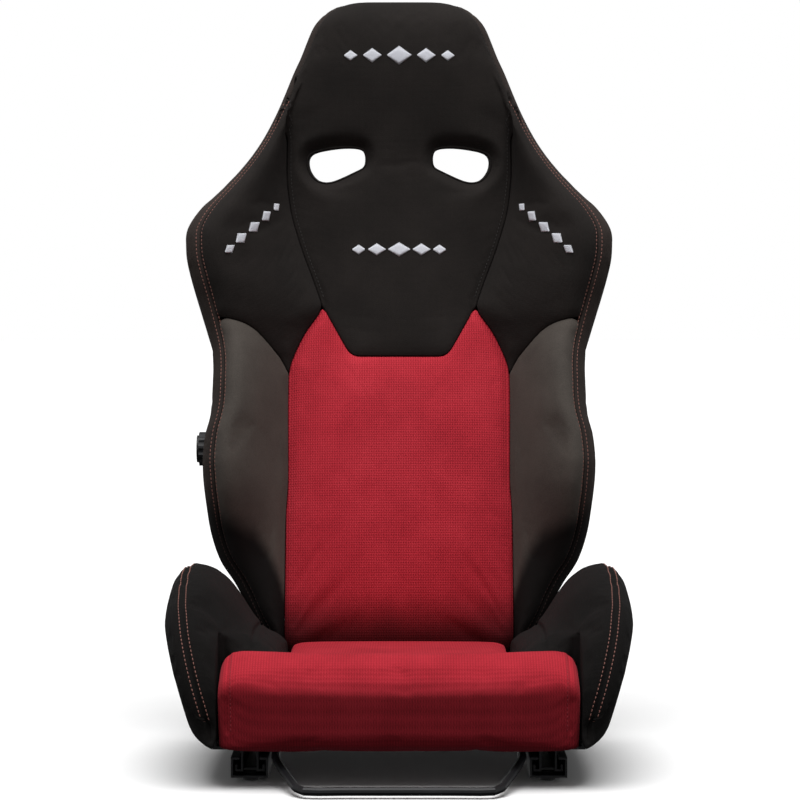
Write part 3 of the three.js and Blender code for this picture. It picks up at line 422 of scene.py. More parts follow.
def cloth_mat(name, dark, base, light, pitch=0.0022, rib=0.5, mesh=0.0, rough=0.9, sheen=0.25, sheen_tint=None, use_uv=True, bump=0.00035, sheen_rough=0.45, fade=None, painted_shade_to=0.2, soft=(-0.018, 0.022)):
    """Woven or knitted upholstery. pitch is the thread spacing in metres; rib is how much the wales stand out; mesh
    adds an open diamond knit. A shade line, when given, darkens the colour towards near-black and cuts the sheen below
    it: painted shade.
    """
    k = Mat(name)
    vec = k.uv(1.0) if use_uv else k.obj(1.0)
    x, y, z = k.sep(vec)
    w = 2 * math.pi / pitch
    warp = k.math("SINE", k.math("MULTIPLY", x, w))
    weft = k.math("SINE", k.math("MULTIPLY", y, w * 0.62)) if use_uv else k.math("SINE", k.math("MULTIPLY", k.math("ADD", y, z), w * 0.62))
    wv = k.math("MULTIPLY", warp, weft)
    h = k.math("ADD", k.math("MULTIPLY", warp, 0.5 * rib), k.math("MULTIPLY", wv, 0.5 * (1 - 0.5 * rib)))
    if mesh:
        a = k.math("SINE", k.math("MULTIPLY", k.math("ADD", x, y), w * 0.5)); b = k.math("SINE", k.math("MULTIPLY", k.math("SUBTRACT", x, y), w * 0.5))
        h = k.math("ADD", h, k.math("MULTIPLY", k.math("MULTIPLY", a, b), mesh))
    ob = k.obj(1.0)
    fuzz = k.noise(ob, 900, 4); cloud = k.noise(ob, 14, 4, 0.6)
    t = k.math("ADD", k.math("MULTIPLY", h, 0.22), k.math("ADD", k.math("MULTIPLY", fuzz, 0.55), k.math("MULTIPLY", cloud, 0.45)))
    col = k.ramp(t, [(0.22, dark), (0.5, base), (0.82, light)])
    sw = None
    if fade:
        # painted shade: below the given line the cloth colour is mixed towards near-black and its sheen weight cut,
        # standing in for shade
        unshaded = k.fade(ob, fade, painted_shade_to, soft)
        col = k.mixc(unshaded, rgb(6, 4, 4), col); sw = k.math("MULTIPLY", unshaded, sheen)
    hb = k.math("ADD", h, k.math("MULTIPLY", fuzz, 0.8))
    nrm = k.bump(hb, bump, 0.9)
    nrm = k.bump(cloud, 0.0012, 0.25, nrm)
    k.set(Base_Color=col, Roughness=k.math("ADD", k.math("MULTIPLY", fuzz, 0.12), rough - 0.06), Normal=nrm)
    k.p.inputs["Specular IOR Level"].default_value = 0.22
    k.p.inputs["Sheen Weight"].default_value = sheen
    if sw is not None: k.link(sw, k.p.inputs["Sheen Weight"])
    k.p.inputs["Sheen Roughness"].default_value = sheen_rough
    k.p.inputs["Sheen Tint"].default_value = sheen_tint or light
    return k.m

# line across the lower backrest bolsters below which their cloth and thread are darkened towards black: painted shade
# where the bolster turns away from the overhead light
BOLSTER_SHADE_LINE = [(0.140, 0.165), (0.150, 0.190), (0.159, 0.222), (0.172, 0.250), (0.187, 0.272), (0.210, 0.284), (0.234, 0.294), (0.252, 0.308)]
# the red insert darkens below about 16 cm: painted shade at its foot, where the seat cushion occludes it
RED = cloth_mat("red_weave", rgb(132, 20, 33), rgb(178, 36, 50), rgb(208, 60, 73), pitch=0.0032, rib=0.7, mesh=0.45, rough=0.88, sheen=0.22, sheen_tint=rgb(205, 80, 92), bump=0.00036, fade=[(0.0, 0.160), (0.29, 0.161)], painted_shade_to=0.22, soft=(-0.03, 0.045))
BLACK = cloth_mat("black_knit", rgb(19, 17, 16), rgb(34, 30, 28), rgb(48, 43, 41), pitch=0.0016, rib=0.3, mesh=0.3, rough=0.95, sheen=0.05, sheen_tint=rgb(96, 88, 84))
# the bolster cloth is black; its lighter charcoal tone is painted sheen where it faces the light, and below the shade
# line it is darkened to black as painted shade
BOLSTER_PAINTED_SHEEN = cloth_mat("charcoal_cloth", rgb(53, 48, 45), rgb(75, 69, 64), rgb(94, 87, 81), pitch=0.0014, rib=0.25, mesh=0.2, rough=0.82, sheen=0.12, sheen_tint=rgb(140, 132, 124), bump=0.0002, fade=BOLSTER_SHADE_LINE, painted_shade_to=0.04)
# side strips: lighter than the black knit as painted glancing sheen, and darkened below the shade line as painted shade
SIDE_PAINTED_SHEEN = cloth_mat("side_knit", rgb(28, 23, 21), rgb(48, 41, 38), rgb(66, 57, 53), pitch=0.0016, rib=0.3, mesh=0.25, rough=0.9, sheen=0.12, sheen_tint=rgb(120, 104, 96), fade=BOLSTER_SHADE_LINE, painted_shade_to=0.15)
BACKING = cloth_mat("backing_cloth", rgb(22, 21, 21), rgb(35, 34, 33), rgb(50, 48, 47), pitch=0.0034, rib=0.1, mesh=0.5, rough=0.92, sheen=0.06, bump=0.0005)

# the seat's red cloth darkens below about 12 cm: painted shade on the raked front face of the roll
RED_O = cloth_mat("red_weave_seat", rgb(128, 17, 29), rgb(163, 29, 43), rgb(188, 46, 59), pitch=0.0032, rib=0.7, mesh=0.45, rough=0.88, sheen=0.32, sheen_tint=rgb(215, 90, 102), bump=0.00028, use_uv=False, fade=[(0.0, 0.120), (0.29, 0.121)], painted_shade_to=0.66, soft=(-0.016, 0.016))
BLACK_O = cloth_mat("black_knit_seat", rgb(6, 5, 5), rgb(12, 10, 9), rgb(22, 18, 17), pitch=0.0016, rib=0.3, mesh=0.3, rough=0.97, sheen=0.03, sheen_tint=rgb(90, 78, 74), use_uv=False)

def finish_mat(name, dark, base, light, metallic, rough, grain=260, bump=0.00012, spread=0.12, streak=None, coat=0.0, fade=None, painted_shade_to=0.3):
    """Painted, plated or moulded hard surface, with grain, uneven gloss and paler worn edges. A shade line, when given,
    darkens the colour below it towards near-black: painted shade.
    """
    k = Mat(name)
    v = k.obj(1.0)
    if streak:
        mp = k.n("ShaderNodeMapping"); mp.inputs["Scale"].default_value = streak; k.link(v, mp.inputs["Vector"]); vs = mp.outputs[0]
    else: vs = v
    a = k.noise(vs, grain, 4, 0.6); b = k.noise(v, 22, 5, 0.6)
    geo = k.n("ShaderNodeNewGeometry")
    edge = k.ramp(geo.outputs["Pointiness"], [(0.50, (0, 0, 0, 1)), (0.60, (1, 1, 1, 1))])
    t = k.math("ADD", k.math("MULTIPLY", a, 0.5), k.math("MULTIPLY", b, 0.5))
    col = k.ramp(t, [(0.3, dark), (0.5, base), (0.75, light)])
    col = k.mixc(k.math("MULTIPLY", edge, 0.35), col, light)
    # painted shade: below the given line the colour is mixed towards near-black
    if fade: col = k.mixc(k.fade(v, fade, painted_shade_to), rgb(8, 6, 6), col)
    k.set(Base_Color=col, Metallic=float(metallic), Roughness=k.math("ADD", k.math("MULTIPLY", t, spread * 2), rough - spread), Normal=k.bump(a, bump, 0.8))
    k.p.inputs["Coat Weight"].default_value = coat
    return k.m
PAINT = finish_mat("powder_coat", rgb(12, 12, 13), rgb(19, 19, 21), rgb(38, 38, 41), 0.0, 0.52, grain=900, bump=0.00010, coat=0.04)
PAINT.node_tree.nodes["Principled BSDF"].inputs["Specular IOR Level"].default_value = 0.3
ZINC = finish_mat("zinc_plate", rgb(116, 118, 122), rgb(150, 152, 156), rgb(186, 188, 192), 1.0, 0.34, grain=300, bump=0.00004, streak=(1, 0.06, 1))
SPRING = finish_mat("oiled_steel", rgb(58, 58, 60), rgb(92, 92, 95), rgb(140, 140, 144), 1.0, 0.32, grain=500, bump=0.00004)
PLASTIC = finish_mat("moulded_black", rgb(11, 11, 12), rgb(21, 21, 23), rgb(42, 42, 45), 0.0, 0.5, grain=1500, bump=0.00012)
WEB = cloth_mat("elastic_web", rgb(12, 12, 12), rgb(22, 22, 23), rgb(40, 40, 41), pitch=0.0024, rib=0.9, rough=0.9, sheen=0.05, use_uv=False)
THREAD = finish_mat("stitch_thread", rgb(96, 60, 52), rgb(128, 82, 72), rgb(160, 110, 98), 0.0, 0.7, grain=2500, bump=0.0001)
# side stitching darkened below the bolster shade line: painted shade
THREAD_SIDE = finish_mat("side_thread", rgb(96, 60, 52), rgb(128, 82, 72), rgb(160, 110, 98), 0.0, 0.7, grain=2500, bump=0.0001, fade=BOLSTER_SHADE_LINE, painted_shade_to=0.12)
PIPING = finish_mat("piping_cloth", rgb(14, 13, 13), rgb(26, 24, 24), rgb(44, 42, 41), 0.0, 0.7, grain=1600, bump=0.0002)
THREAD_BLACK = finish_mat("dark_thread", rgb(14, 13, 13), rgb(30, 28, 27), rgb(52, 49, 47), 0.0, 0.75, grain=2500, bump=0.0001)
THREAD_RED = finish_mat("red_thread", rgb(90, 12, 22), rgb(128, 24, 36), rgb(160, 40, 52), 0.0, 0.75, grain=2500, bump=0.0001)
WHITE = finish_mat("white_thread", rgb(196, 198, 208), rgb(222, 224, 232), rgb(244, 245, 250), 0.0, 0.55, grain=1800, bump=0.0002, streak=(1, 1, 0.1))

def paint(o, m):
    if not o.data.materials: o.data.materials.append(m)
    else:
        for i in range(len(o.data.materials)): o.data.materials[i] = m
    return o
NODE_MAT = {}
for n in frame["nodes"]:
    o = frame["nodes"][n]; s = next(x["material_slot"] for x in frame["record"]["subparts"] if x["node"] == n)
    paint(o, {"black_paint": PAINT, "zinc": ZINC, "spring_steel": SPRING, "black_plastic": PLASTIC, "webbing": WEB}.get(s, BLACK))

# ------------------------------------------------------------------ backrest panels
YOKE_EDGE = [(100.8, 412), (97, 405), (90, 392.5), (80.5, 375), (74.5, 364), (69.5, 355), (65, 348.8), (58, 344.6), (50, 344)]
def s_seam(q):
    a = s_at(3.0, q); b = s_at(8.6, q)
    if q <= 640: return a
    return a + (b - a) * float(smooth(640, 716, q))
def s_side(q): return s_at(8.6, q)
SB_TAU = 12.75
def s_back(q): return s_at(SB_TAU, q)
def uq(u, q): return (s_of_u(u, q), q)
G = 0.25
seam_lo = [(s_seam(q), q) for q in np.arange(-60, 322, 8.0)]
seam_mid = [(s_seam(q), q) for q in (321, 330, 338, 346, 354, 362, 372, 382, 392, 402, 412)]
seam_hi = [(s_seam(q), q) for q in np.arange(412, 716, 8.0)] + [(s_side(716), 716)]
def off(pts, d): return [(a + d, b) for a, b in pts]
def mirror(pts): return [(-a, b) for a, b in reversed(pts)]

yedge = [uq(u, q) for u, q in YOKE_EDGE]
insert_half = off(seam_lo, -G) + off(seam_mid[1:-1], -G) + [(yedge[0][0] - 0.2, 411.2)] + [(a - 0.2, b - G) for a, b in yedge[1:]]
insert_outline = insert_half + mirror(insert_half)
yoke_half = [(a, b + G) for a, b in reversed(yedge)] + off(seam_hi[1:], -G) + [(s_side(q) - G, q) for q in np.arange(724, Q1 - 1.5, 6.0)] + [(s_side(Q1 - 1.2), Q1 - 1.2)]
yoke_outline = yoke_half + mirror(yoke_half)
SLOT = [(46.5, 607), (45.3, 614), (46, 623), (49.5, 628.5), (56, 631), (68, 631.8), (82, 631), (98, 628.6), (110, 626), (118, 622.3), (121.6, 615.5), (121.2, 606), (118, 597.5), (112, 589.5), (104.5, 585.2), (95, 584), (85, 586.6), (72, 592.4), (58, 599.4), (50, 603.2)]
def chaikin(p, n=2):
    p = np.asarray(p, float)
    for _ in range(n):
        q = np.roll(p, -1, axis=0); p = np.stack([0.75 * p + 0.25 * q, 0.25 * p + 0.75 * q], 1).reshape(-1, 2)
    return p
def slot_at(k, w, grow=0.0):  # the slot's outline where the tunnel crosses depth w: (u, v)
    c = np.array([84.0, 608.0]); p = chaikin(SLOT, 2); d = p - c; L = np.linalg.norm(d, axis=1)[:, None]
    p = c + d * (L + grow) / L
    p[:, 1] -= math.tan(math.radians(14)) * (w - 40)
    return p
def slot_outline(w, grow):
    return [uq(u, v) for u, v in slot_at(0, w, grow)]
slot_r = slot_outline(40, 0.8)
slot_l = [(-a, b) for a, b in slot_r]

DIAG = [(148, 330.5), (153.6, 340), (165, 353), (176, 364.5), (188, 374), (200, 379.5), (214, 382.6), (228, 384)]
diag = [uq(u, q) for u, q in DIAG] + [(s_side(385.0), 385.0)]
wing_outline = [(s_seam(321) + G, 321 + G)] + [(a, b + G) for a, b in diag[:-1]] + [(s_side(q) - G, q) for q in np.arange(386, 708, 8.0)] + [(a + G, b) for a, b in reversed(seam_hi[:-1])] + off(list(reversed(seam_mid[1:-1])), G)
bol_outline = [(s_seam(-60) + G, -60)] + [(s_side(q) - G, q) for q in np.arange(-60, 384, 8.0)] + [(a, b - G) for a, b in reversed(diag[:-1])] + [(s_seam(321) + G, 321 - G)] + off(list(reversed(seam_lo)), G)[1:]
side_qs = np.concatenate([np.arange(-62, 790, 8.0), np.arange(790, 846, 6.0)])
side_outline = [(s_side(q) + G, q) for q in side_qs] + [(s_back(q) - G, q) for q in reversed(side_qs)]
back_t = lambda q: tot_at(q) - s_back(q)
back_half = [(back_t(q) - G, q) for q in np.concatenate([np.arange(-62, 790, 8.0), np.arange(790, 850, 6.0)])] + [(0.5 * back_t(856), 857.5)]
back_outline = back_half + mirror(back_half)
rear_slot_r = [(u, v) for u, v in slot_at(0, -28, 1.6)]
rear_slot_l = [(-a, b) for a, b in rear_slot_r]

def mirrored(o, name):
    me = o.data.copy(); me.name = name
    c = bpy.data.objects.new(name, me); scene.collection.objects.link(c)
    me.transform(Matrix.Diagonal((-1, 1, 1, 1)))
    me.flip_normals(); me.update()
    return c

soft = {}
def finish_soft(o, info, body, slot_name, mat, nodes, cap, pressure=4.0):
    pin = list(range(info["n"], 2 * info["n"])) + [int(i) for i in np.where(info["d"] < 4.5)[0]]
    inflate(o, cap, pressure=pressure, pin=pin)
    paint(o, mat)
    sd = o.modifiers.new("smooth", "SUBSURF"); sd.levels = 1; sd.render_levels = 1; sd.use_limit_surface = False
    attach(o, body)
    if nodes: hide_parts(*nodes)
    soft[o.name] = o
    return o

ins, ins_i = panel("insert_cover", insert_outline, crown=4.0, dip=4.5, thick=16)
yoke, yoke_i = panel("yoke_cover", yoke_outline, holes=[slot_r, slot_l], crown=2.5, dip=3.2)
wing, wing_i = panel("shoulder_cover_right", wing_outline, crown=4.0, dip=3.6)
bol, bol_i = panel("bolster_cover_right", bol_outline, crown=4.0, dip=4.0)
side, side_i = panel("side_cover_right", side_outline, crown=2.5, dip=2.6, thick=9)
rear, rear_i = panel("back_panel", back_outline, holes=[rear_slot_r, rear_slot_l], rear=True, crown=1.2, dip=2.2, thick=4, hole_dip=2.0, hole_soft=5.0, step=8.0)
for o, i, s, m, n, cap in ((ins, ins_i, "red_fabric", RED, ["backrest_insert"], 0.0045), (yoke, yoke_i, "black_fabric", BLACK, ["backrest_yoke"], 0.004)):
    finish_soft(o, i, "backrest", s, m, n, cap)
for o, i, s, m, n, cap, tag in ((wing, wing_i, "black_fabric", BLACK, "backrest_shoulder", 0.006, "shoulder_cover"), (bol, bol_i, "charcoal_fabric", BOLSTER_PAINTED_SHEEN, "backrest_bolster", 0.006, "bolster_cover"), (side, side_i, "black_fabric", SIDE_PAINTED_SHEEN, None, 0.004, "side_cover")):
    pin = list(range(i["n"], 2 * i["n"])) + [int(k) for k in np.where(i["d"] < 4.5)[0]]
    inflate(o, cap, pin=pin)
    left = mirrored(o, tag + "_left")
    for x, sd_ in ((o, "_right"), (left, "_left")):
        paint(x, m)
        mod = x.modifiers.new("smooth", "SUBSURF"); mod.levels = 1; mod.render_levels = 1; mod.use_limit_surface = False
        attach(x, "backrest")
        if n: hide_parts(n + sd_)
        soft[x.name] = x
pin = list(range(rear_i["n"], 2 * rear_i["n"]))
paint(rear, BACKING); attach(rear, "backrest"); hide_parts("back_cover")
mod = rear.modifiers.new("smooth", "SUBSURF"); mod.levels = 1; mod.render_levels = 1; mod.use_limit_surface = False

# ------------------------------------------------------------------ cushion
# y in millimetres before the shift to the frame's origin
cushTop = pchip([[-195, 152], [-150, 151], [-100, 149], [0, 143], [60, 139], [100, 136], [122, 131], [131, 122], [135, 112]])
bolFoot = pchip([[-262, 72], [-255, 88], [-240, 112], [-220, 140], [-195, 160], [-150, 162], [-100, 160], [0, 154], [60, 150], [100, 145], [122, 136], [131, 124], [135, 114]])
bolTop = pchip([[-262, 118], [-257, 138], [-248, 160], [-235, 182], [-215, 203], [-180, 225.5], [-120, 243], [-60, 248.5], [0, 245.5], [40, 235], [70, 219], [95, 195], [112, 170], [125, 146], [131, 132], [135, 118]])
bolWide = pchip([[-262, 248], [-257, 256], [-248, 263], [-235, 269], [-200, 277], [-150, 282], [-60, 285], [0, 284], [60, 279], [95, 272], [115, 264], [128, 254], [135, 244]])
def ear_ring(y):
    zc, b, t, W = (float(f(y)) for f in (cushTop, bolFoot, bolTop, bolWide))
    H, s = t - b, W - 284
    top = [(140.4, zc - 3.2), (150, zc + 1), (163, b - 1.5), (172, b), (184, b + .18 * H), (191 + .2 * s, b + .3 * H), (203 + .3 * s, b + .56 * H), (213 + .4 * s, b + .76 * H), (228 + .6 * s, b + .94 * H), (248 + .8 * s, t + 1), (266 + s, b + .97 * H), (279.5 + s, b + .80 * H), (W, b + .48 * H), (W - 6.5, b + .16 * H), (W - 28.5, min(92, b + .18 * H - 8)), (245 + .6 * s, 61), (239.5 + .5 * s, 47.5), (232 + .4 * s, 44.5), (204, 44.5), (200, 48), (197, 66.4), (140.4, 66.4)]
    f = 1 - float(smooth(-197, -140, y))  # the inner slope dies away towards the roll
    top = [(p[0], p[1] - f * {4: 6, 5: 10, 6: 18, 7: 24, 8: 7}.get(k, 0)) for k, p in enumerate(top)]
    if y < -196.5:  # in front of the frame the bolster stands outside the roll only
        keep = [p for p in top if p[0] >= 213.2]
        zi = np.interp(213.2, [p[0] for p in top[:10]], [p[1] for p in top[:10]])
        top = [(213.2, float(zi) - 6), (215.0, float(zi) - 1)] + [p for p in keep if p[0] > 216]
        top = [p for k, p in enumerate(top) if not (k > 0 and p[0] <= 213.3)]
        top.append((213.2, 44.5))
    return top
def closed_loft(name, rings, n=72):
    """rings: list of (y, closed polygon in x, z); resampled by arc length and capped."""
    out = []
    for y, r in rings:
        p = np.asarray(r, float); q = resample(p, 1.0)
        L = np.linalg.norm(q - np.roll(q, 1, axis=0), axis=1); i0 = int(np.argmin(np.hypot(q[:, 0] - q[:, 0].min(), q[:, 1] - q[:, 1].min())))
        q = np.roll(q, -i0, axis=0)
        t = np.linspace(0, len(q), n, endpoint=False)
        q = np.stack([np.interp(t, np.arange(len(q) + 1), np.append(q[:, k], q[0, k])) for k in (0, 1)], 1)
        out.append(np.column_stack([q[:, 0], np.full(n, y + SHIFT), q[:, 1]]))
    V = np.vstack(out) / 1000.0; F = []
    m = len(rings)
    for i in range(m - 1):
        for k in range(n):
            F.append((i * n + k, i * n + (k + 1) % n, (i + 1) * n + (k + 1) % n, (i + 1) * n + k))
    F.append(tuple(range(n - 1, -1, -1))); F.append(tuple((m - 1) * n + k for k in range(n)))
    o = new_object(name, V, F); 
    bm = bmesh.new(); bm.from_mesh(o.data); bmesh.ops.triangulate(bm, faces=[f for f in bm.faces if len(f.verts) > 4]); bmesh.ops.recalc_face_normals(bm, faces=bm.faces); bm.to_mesh(o.data); bm.free()
    return o
def bake(o):
    dg = bpy.context.evaluated_depsgraph_get(); me = bpy.data.meshes.new_from_object(o.evaluated_get(dg))
    old = o.data; o.modifiers.clear(); o.data = me; bpy.data.meshes.remove(old); return o
def remesh(o, voxel):
    m = o.modifiers.new("r", "REMESH"); m.mode = "VOXEL"; m.voxel_size = voxel; m.use_smooth_shade = True
    return bake(o)
def relax(o, n, f=0.5):
    m = o.modifiers.new("s", "SMOOTH"); m.factor = f; m.iterations = n
    return bake(o)
def shrink(o, d):  # the pad swells, so it starts smaller
    me = o.data
    N = np.array([v.normal for v in me.vertices]); set_coords(o, coords(o) - N * d)
def subdivide(o):
    m = o.modifiers.new("d", "SUBSURF"); m.levels = 1; m.render_levels = 1; m.use_limit_surface = False
    return bake(o)
class tree:
    """Ray and nearest-point lookup over several pieces as they look with their modifiers."""
    def __init__(s, *obs):
        dg = bpy.context.evaluated_depsgraph_get(); s.t = [BVHTree.FromObject(o, dg) for o in obs]
    def ray_cast(s, o, d, reach):
        best = (None, None, None, None)
        for t in s.t:
            h = t.ray_cast(o, d, reach)
            if h[0] is not None and (best[0] is None or h[3] < best[3]): best = h
        return best
    def find_nearest(s, o, reach):
        best = (None, None, None, None)
        for t in s.t:
            h = t.find_nearest(o, reach)
            if h[0] is not None and (best[0] is None or h[3] < best[3]): best = h
        return best
def groove(o, path, depth, width, ridge=0.0):
    """Sinks the surface along a 3-D path (metres); ridge lifts it a little on both sides."""
    C = coords(o); N = np.array([v.normal for v in o.data.vertices]); path = np.asarray(path, float)
    a, b = path[:-1], path[1:]; best = np.full(len(C), 1e9)
    box_ = (C > path.min(0) - 0.02).all(1) & (C < path.max(0) + 0.02).all(1)
    idx = np.where(box_)[0]
    for k in range(0, len(idx), 1500):
        j = idx[k:k + 1500]; p = C[j][:, None, :]; ab = (b - a)[None]
        t = np.clip(((p - a[None]) * ab).sum(-1) / np.maximum((ab ** 2).sum(-1), 1e-12), 0, 1)
        best[j] = np.linalg.norm(p - (a[None] + t[..., None] * ab), axis=-1).min(1)
    d = -depth * np.exp(-(best / width) ** 2) + ridge * np.exp(-((best - 3.0 * width) / (1.5 * width)) ** 2)
    set_coords(o, C + N * d[:, None])

ys = [-262, -260.5, -258, -254, -248, -240, -231, -222, -212, -204, -197.2, -196.4] + list(np.arange(-190, 100, 10.0)) + [104, 112, 118, 123, 127, 130, 133, 135]
ear = closed_loft("cushion_side_right", [(y, ear_ring(y)) for y in ys], 96)
ear = remesh(ear, 0.0045); ear = relax(ear, 4)
shrink(ear, 0.0004)
inflate(ear, 0.010, pressure=3.0, tension=14, keep=0.95)
ear = subdivide(ear)

# the roll across the front
def roll_ring(x, g=0.0):
    r, X = 28.0, 212.0
    e = 0 if abs(x) <= X - r else r * (1 - math.sqrt(max(0, 1 - ((abs(x) - (X - r)) / r) ** 2)))
    y0, y1, z0, z1 = -268 + e * .45, -197.4, 44.8 + e * .12, 161.5 - e * .95; n = 54 - e * .5
    arc = lambda cy, cz, r, a, b, k: [(cy + r * math.cos(math.radians(a + (b - a) * i / k)), cz + r * math.sin(math.radians(a + (b - a) * i / k))) for i in range(k + 1)]
    f = n / 54
    nose = [(y0 + a * f, z1 + b * f) for a, b in ((5, -60), (1.2, -43), (0.2, -37), (1.6, -31), (5, -25.5), (10.5, -20.5), (19, -15.5), (30, -10), (42, -4.8), (52, -1.6), (60, 0))]
    nose = [(min(a, y1 - 8.5), b) for a, b in nose]
    return nose + arc(y1 - 8, z1 - 8, 8, 90, 0, 4) + arc(y1 - 6, z0 + 6, 6, 0, -90, 2) + arc(y0 + 14 + 9, z0 + 9, 9, -90, -180, 4)
def x_loft(name, xs, ringf, n=80):
    o = closed_loft(name, [(0, [(a, b) for a, b in ringf(x)]) for x in xs], n)
    C = coords(o)
    P = np.empty_like(C)
    for i, x in enumerate(xs):
        c = C[i * n:(i + 1) * n]; P[i * n:(i + 1) * n] = np.column_stack([np.full(n, x / 1000.0), c[:, 0] + SHIFT / 1000.0, c[:, 2]])
    set_coords(o, P); fix_normals(o); return o
rxs = [-212, -211.6, -210.5, -208.5, -206, -202, -198, -191, -184] + list(np.arange(-170, 171, 10.0)) + [184, 191, 198, 202, 206, 208.5, 210.5, 211.6, 212]
roll = x_loft("front_roll", rxs, roll_ring)
roll = remesh(roll, 0.0045); roll = relax(roll, 3)
shrink(roll, 0.0004)
inflate(roll, 0.0035, pressure=2.0, tension=22, keep=0.95)
roll = subdivide(roll)

# the seat insert between the two sides
def seat_ring(y):
    z = float(cushTop(y)) - 4.0
    return [(-139.6, 66.0), (-139.6, z - 2.5), (-138, z - 0.4), (-131, z + 0.6), (-100, z + 1.4), (0, z + 1.8), (100, z + 1.4), (131, z + 0.6), (138, z - 0.4), (139.6, z - 2.5), (139.6, 66.0)]
sys_ = [-196.6, -195.5, -192, -186] + list(np.arange(-178, 110, 10.0)) + [114, 122, 127, 131, 134, 135]
seat = closed_loft("seat_insert", [(y, seat_ring(y)) for y in sys_], 120)
seat = remesh(seat, 0.005); seat = relax(seat, 1)
shrink(seat, 0.0006)
inflate(seat, 0.003, pressure=1.5, tension=22, keep=0.95)
seat = subdivide(seat)

# padded tail of the insert, under the foot of the backrest and clear of its swing
TAIL = [(135.5, 98.5), (137.6, 93.3), (141, 89), (147.5, 85.6), (159, 83.2), (173.5, 82.7), (190, 83), (203, 84), (206.3, 82.4), (205, 79.6), (190, 77.8), (173.5, 77.4), (158, 77.8), (145.5, 80.4), (138, 84.6), (135.5, 89.5)]
def tail_ring(x):
    k = max(0.0, (abs(x) - 121) / 7.0); c = (158.0, 82.0)  # drawn in at both ends
    return [(a, b + (min(84.0, max(80.0, b)) - b) * 0.35 * k * k if a > 140 else b) for a, b in TAIL]
tail = x_loft("seat_tail", [-128, -127.2, -125.5, -121] + list(np.arange(-112, 113, 8.0)) + [121, 125.5, 127.2, 128], tail_ring, 64)
tail = subdivide(tail)

def clampx(o, x0, x1, y0=None, y1=None, z0=None):
    C = coords(o)
    if x0 is not None: C[:, 0] = np.maximum(C[:, 0], x0)
    if x1 is not None: C[:, 0] = np.minimum(C[:, 0], x1)
    if y0 is not None: C[:, 1] = np.maximum(C[:, 1], y0)
    if y1 is not None: C[:, 1] = np.minimum(C[:, 1], y1)
    if z0 is not None: C[:, 2] = np.maximum(C[:, 2], z0)
    set_coords(o, C)
clampx(seat, -0.1398, 0.1398, (-197.0 + SHIFT) / 1000, None, 0.0652)
C = coords(ear)  # stay clear of the roll, the insert and the pan
front = C[:, 1] < (-197.0 + SHIFT) / 1000
C[:, 0] = np.where(front, np.maximum(C[:, 0], 0.2130), np.maximum(C[:, 0], 0.1402))
pan = (C[:, 1] > (-191 + SHIFT) / 1000) & (C[:, 0] < 0.2126) & (C[:, 2] < 0.0658)
C[pan, 2] = 0.0658
set_coords(ear, C)
clampx(roll, -0.2126, 0.2126, None, (-197.2 + SHIFT) / 1000, None)

# seam over the top of the bolster
et = tree(ear)
def cast(o, d):
    h = et.ray_cast(Vector(o), Vector(d), 2.0); return None if h[0] is None else (np.array(h[0]), np.array(h[1]))
seam_fr = [(219.5, 60), (222, 74), (225.5, 88), (229, 99.4), (233, 111), (237, 124), (241, 140), (245.5, 157), (249.3, 174), (252.5, 191), (255, 206), (256.4, 216)]
seam_up = [(257.0, -168), (257.6, -150), (258, -130), (258.2, -105), (258.2, -80), (258, -50), (257.4, -20), (256.6, 10), (255, 35), (253, 58), (250, 80), (246.5, 97), (242, 111), (237, 121), (232, 128)]
path = []
for x, z in seam_fr:
    h = cast((x / 1000, -0.6, z / 1000), (0, 1, 0))
    if h: path.append((h[0], h[1]))
for x, y in seam_up:
    h = cast((x / 1000, (y + SHIFT) / 1000, 0.5), (0, 0, -1))
    if h: path.append((h[0], h[1]))
def dense(path, step):
    P = np.array([p for p, n in path]); N = np.array([n for p, n in path])
    for _ in range(3):
        Q = P.copy(); Q[1:-1] = .25 * P[:-2] + .5 * P[1:-1] + .25 * P[2:]; P = Q
    L = np.concatenate([[0], np.cumsum(np.linalg.norm(np.diff(P, axis=0), axis=1))]); t = np.arange(0, L[-1], step)
    P = np.stack([np.interp(t, L, P[:, k]) for k in range(3)], 1); N = np.stack([np.interp(t, L, N[:, k]) for k in range(3)], 1)
    return P, N / np.linalg.norm(N, axis=1)[:, None]
def stick(P, N, bvh, reach=0.03):  # drop a path on to a surface
    Q, M = [], []
    for p, n in zip(P, N):
        h = bvh.find_nearest(Vector(p), reach)
        if h[0] is None: Q.append(p); M.append(n)
        else:
            m = np.array(h[1]); m = m if m @ n > 0 else -m
            Q.append(np.array(h[0])); M.append(m)
    return np.array(Q), np.array(M)
earP, earN = dense(path, 0.004)
earP, earN = stick(earP, earN, et)
groove(ear, earP, 0.0026, 0.0022, 0.0006)
vpath = [cast((173.5 / 1000, (y + SHIFT) / 1000, 0.5), (0, 0, -1)) for y in range(-194, 130, 8)]
vpath = [h for h in vpath if h]
vP, vN = dense(vpath, 0.004)
groove(ear, vP, 0.0022, 0.0024, 0.0004)
rt = tree(roll)
def rcast(o, d):
    h = rt.ray_cast(Vector(o), Vector(d), 2.0); return None if h[0] is None else (np.array(h[0]), np.array(h[1]))
# end seams of the roll, round the front corner
def roll_end(sg):
    out = []
    for a in np.linspace(-60, 118, 66):
        c = np.array([sg * 0.199, (-236 + SHIFT) / 1000, 0.100]); d = np.array([0, -math.cos(math.radians(a)), math.sin(math.radians(a))])
        h = rcast(tuple(c + d * 0.3), tuple(-d))
        if h: out.append(h)
    return out
roll_seams = []
for sg in (1, -1):
    P, N = dense(roll_end(sg), 0.004); P, N = stick(P, N, rt); roll_seams.append((P, N)); groove(roll, P, 0.0016, 0.0018, 0.0004)

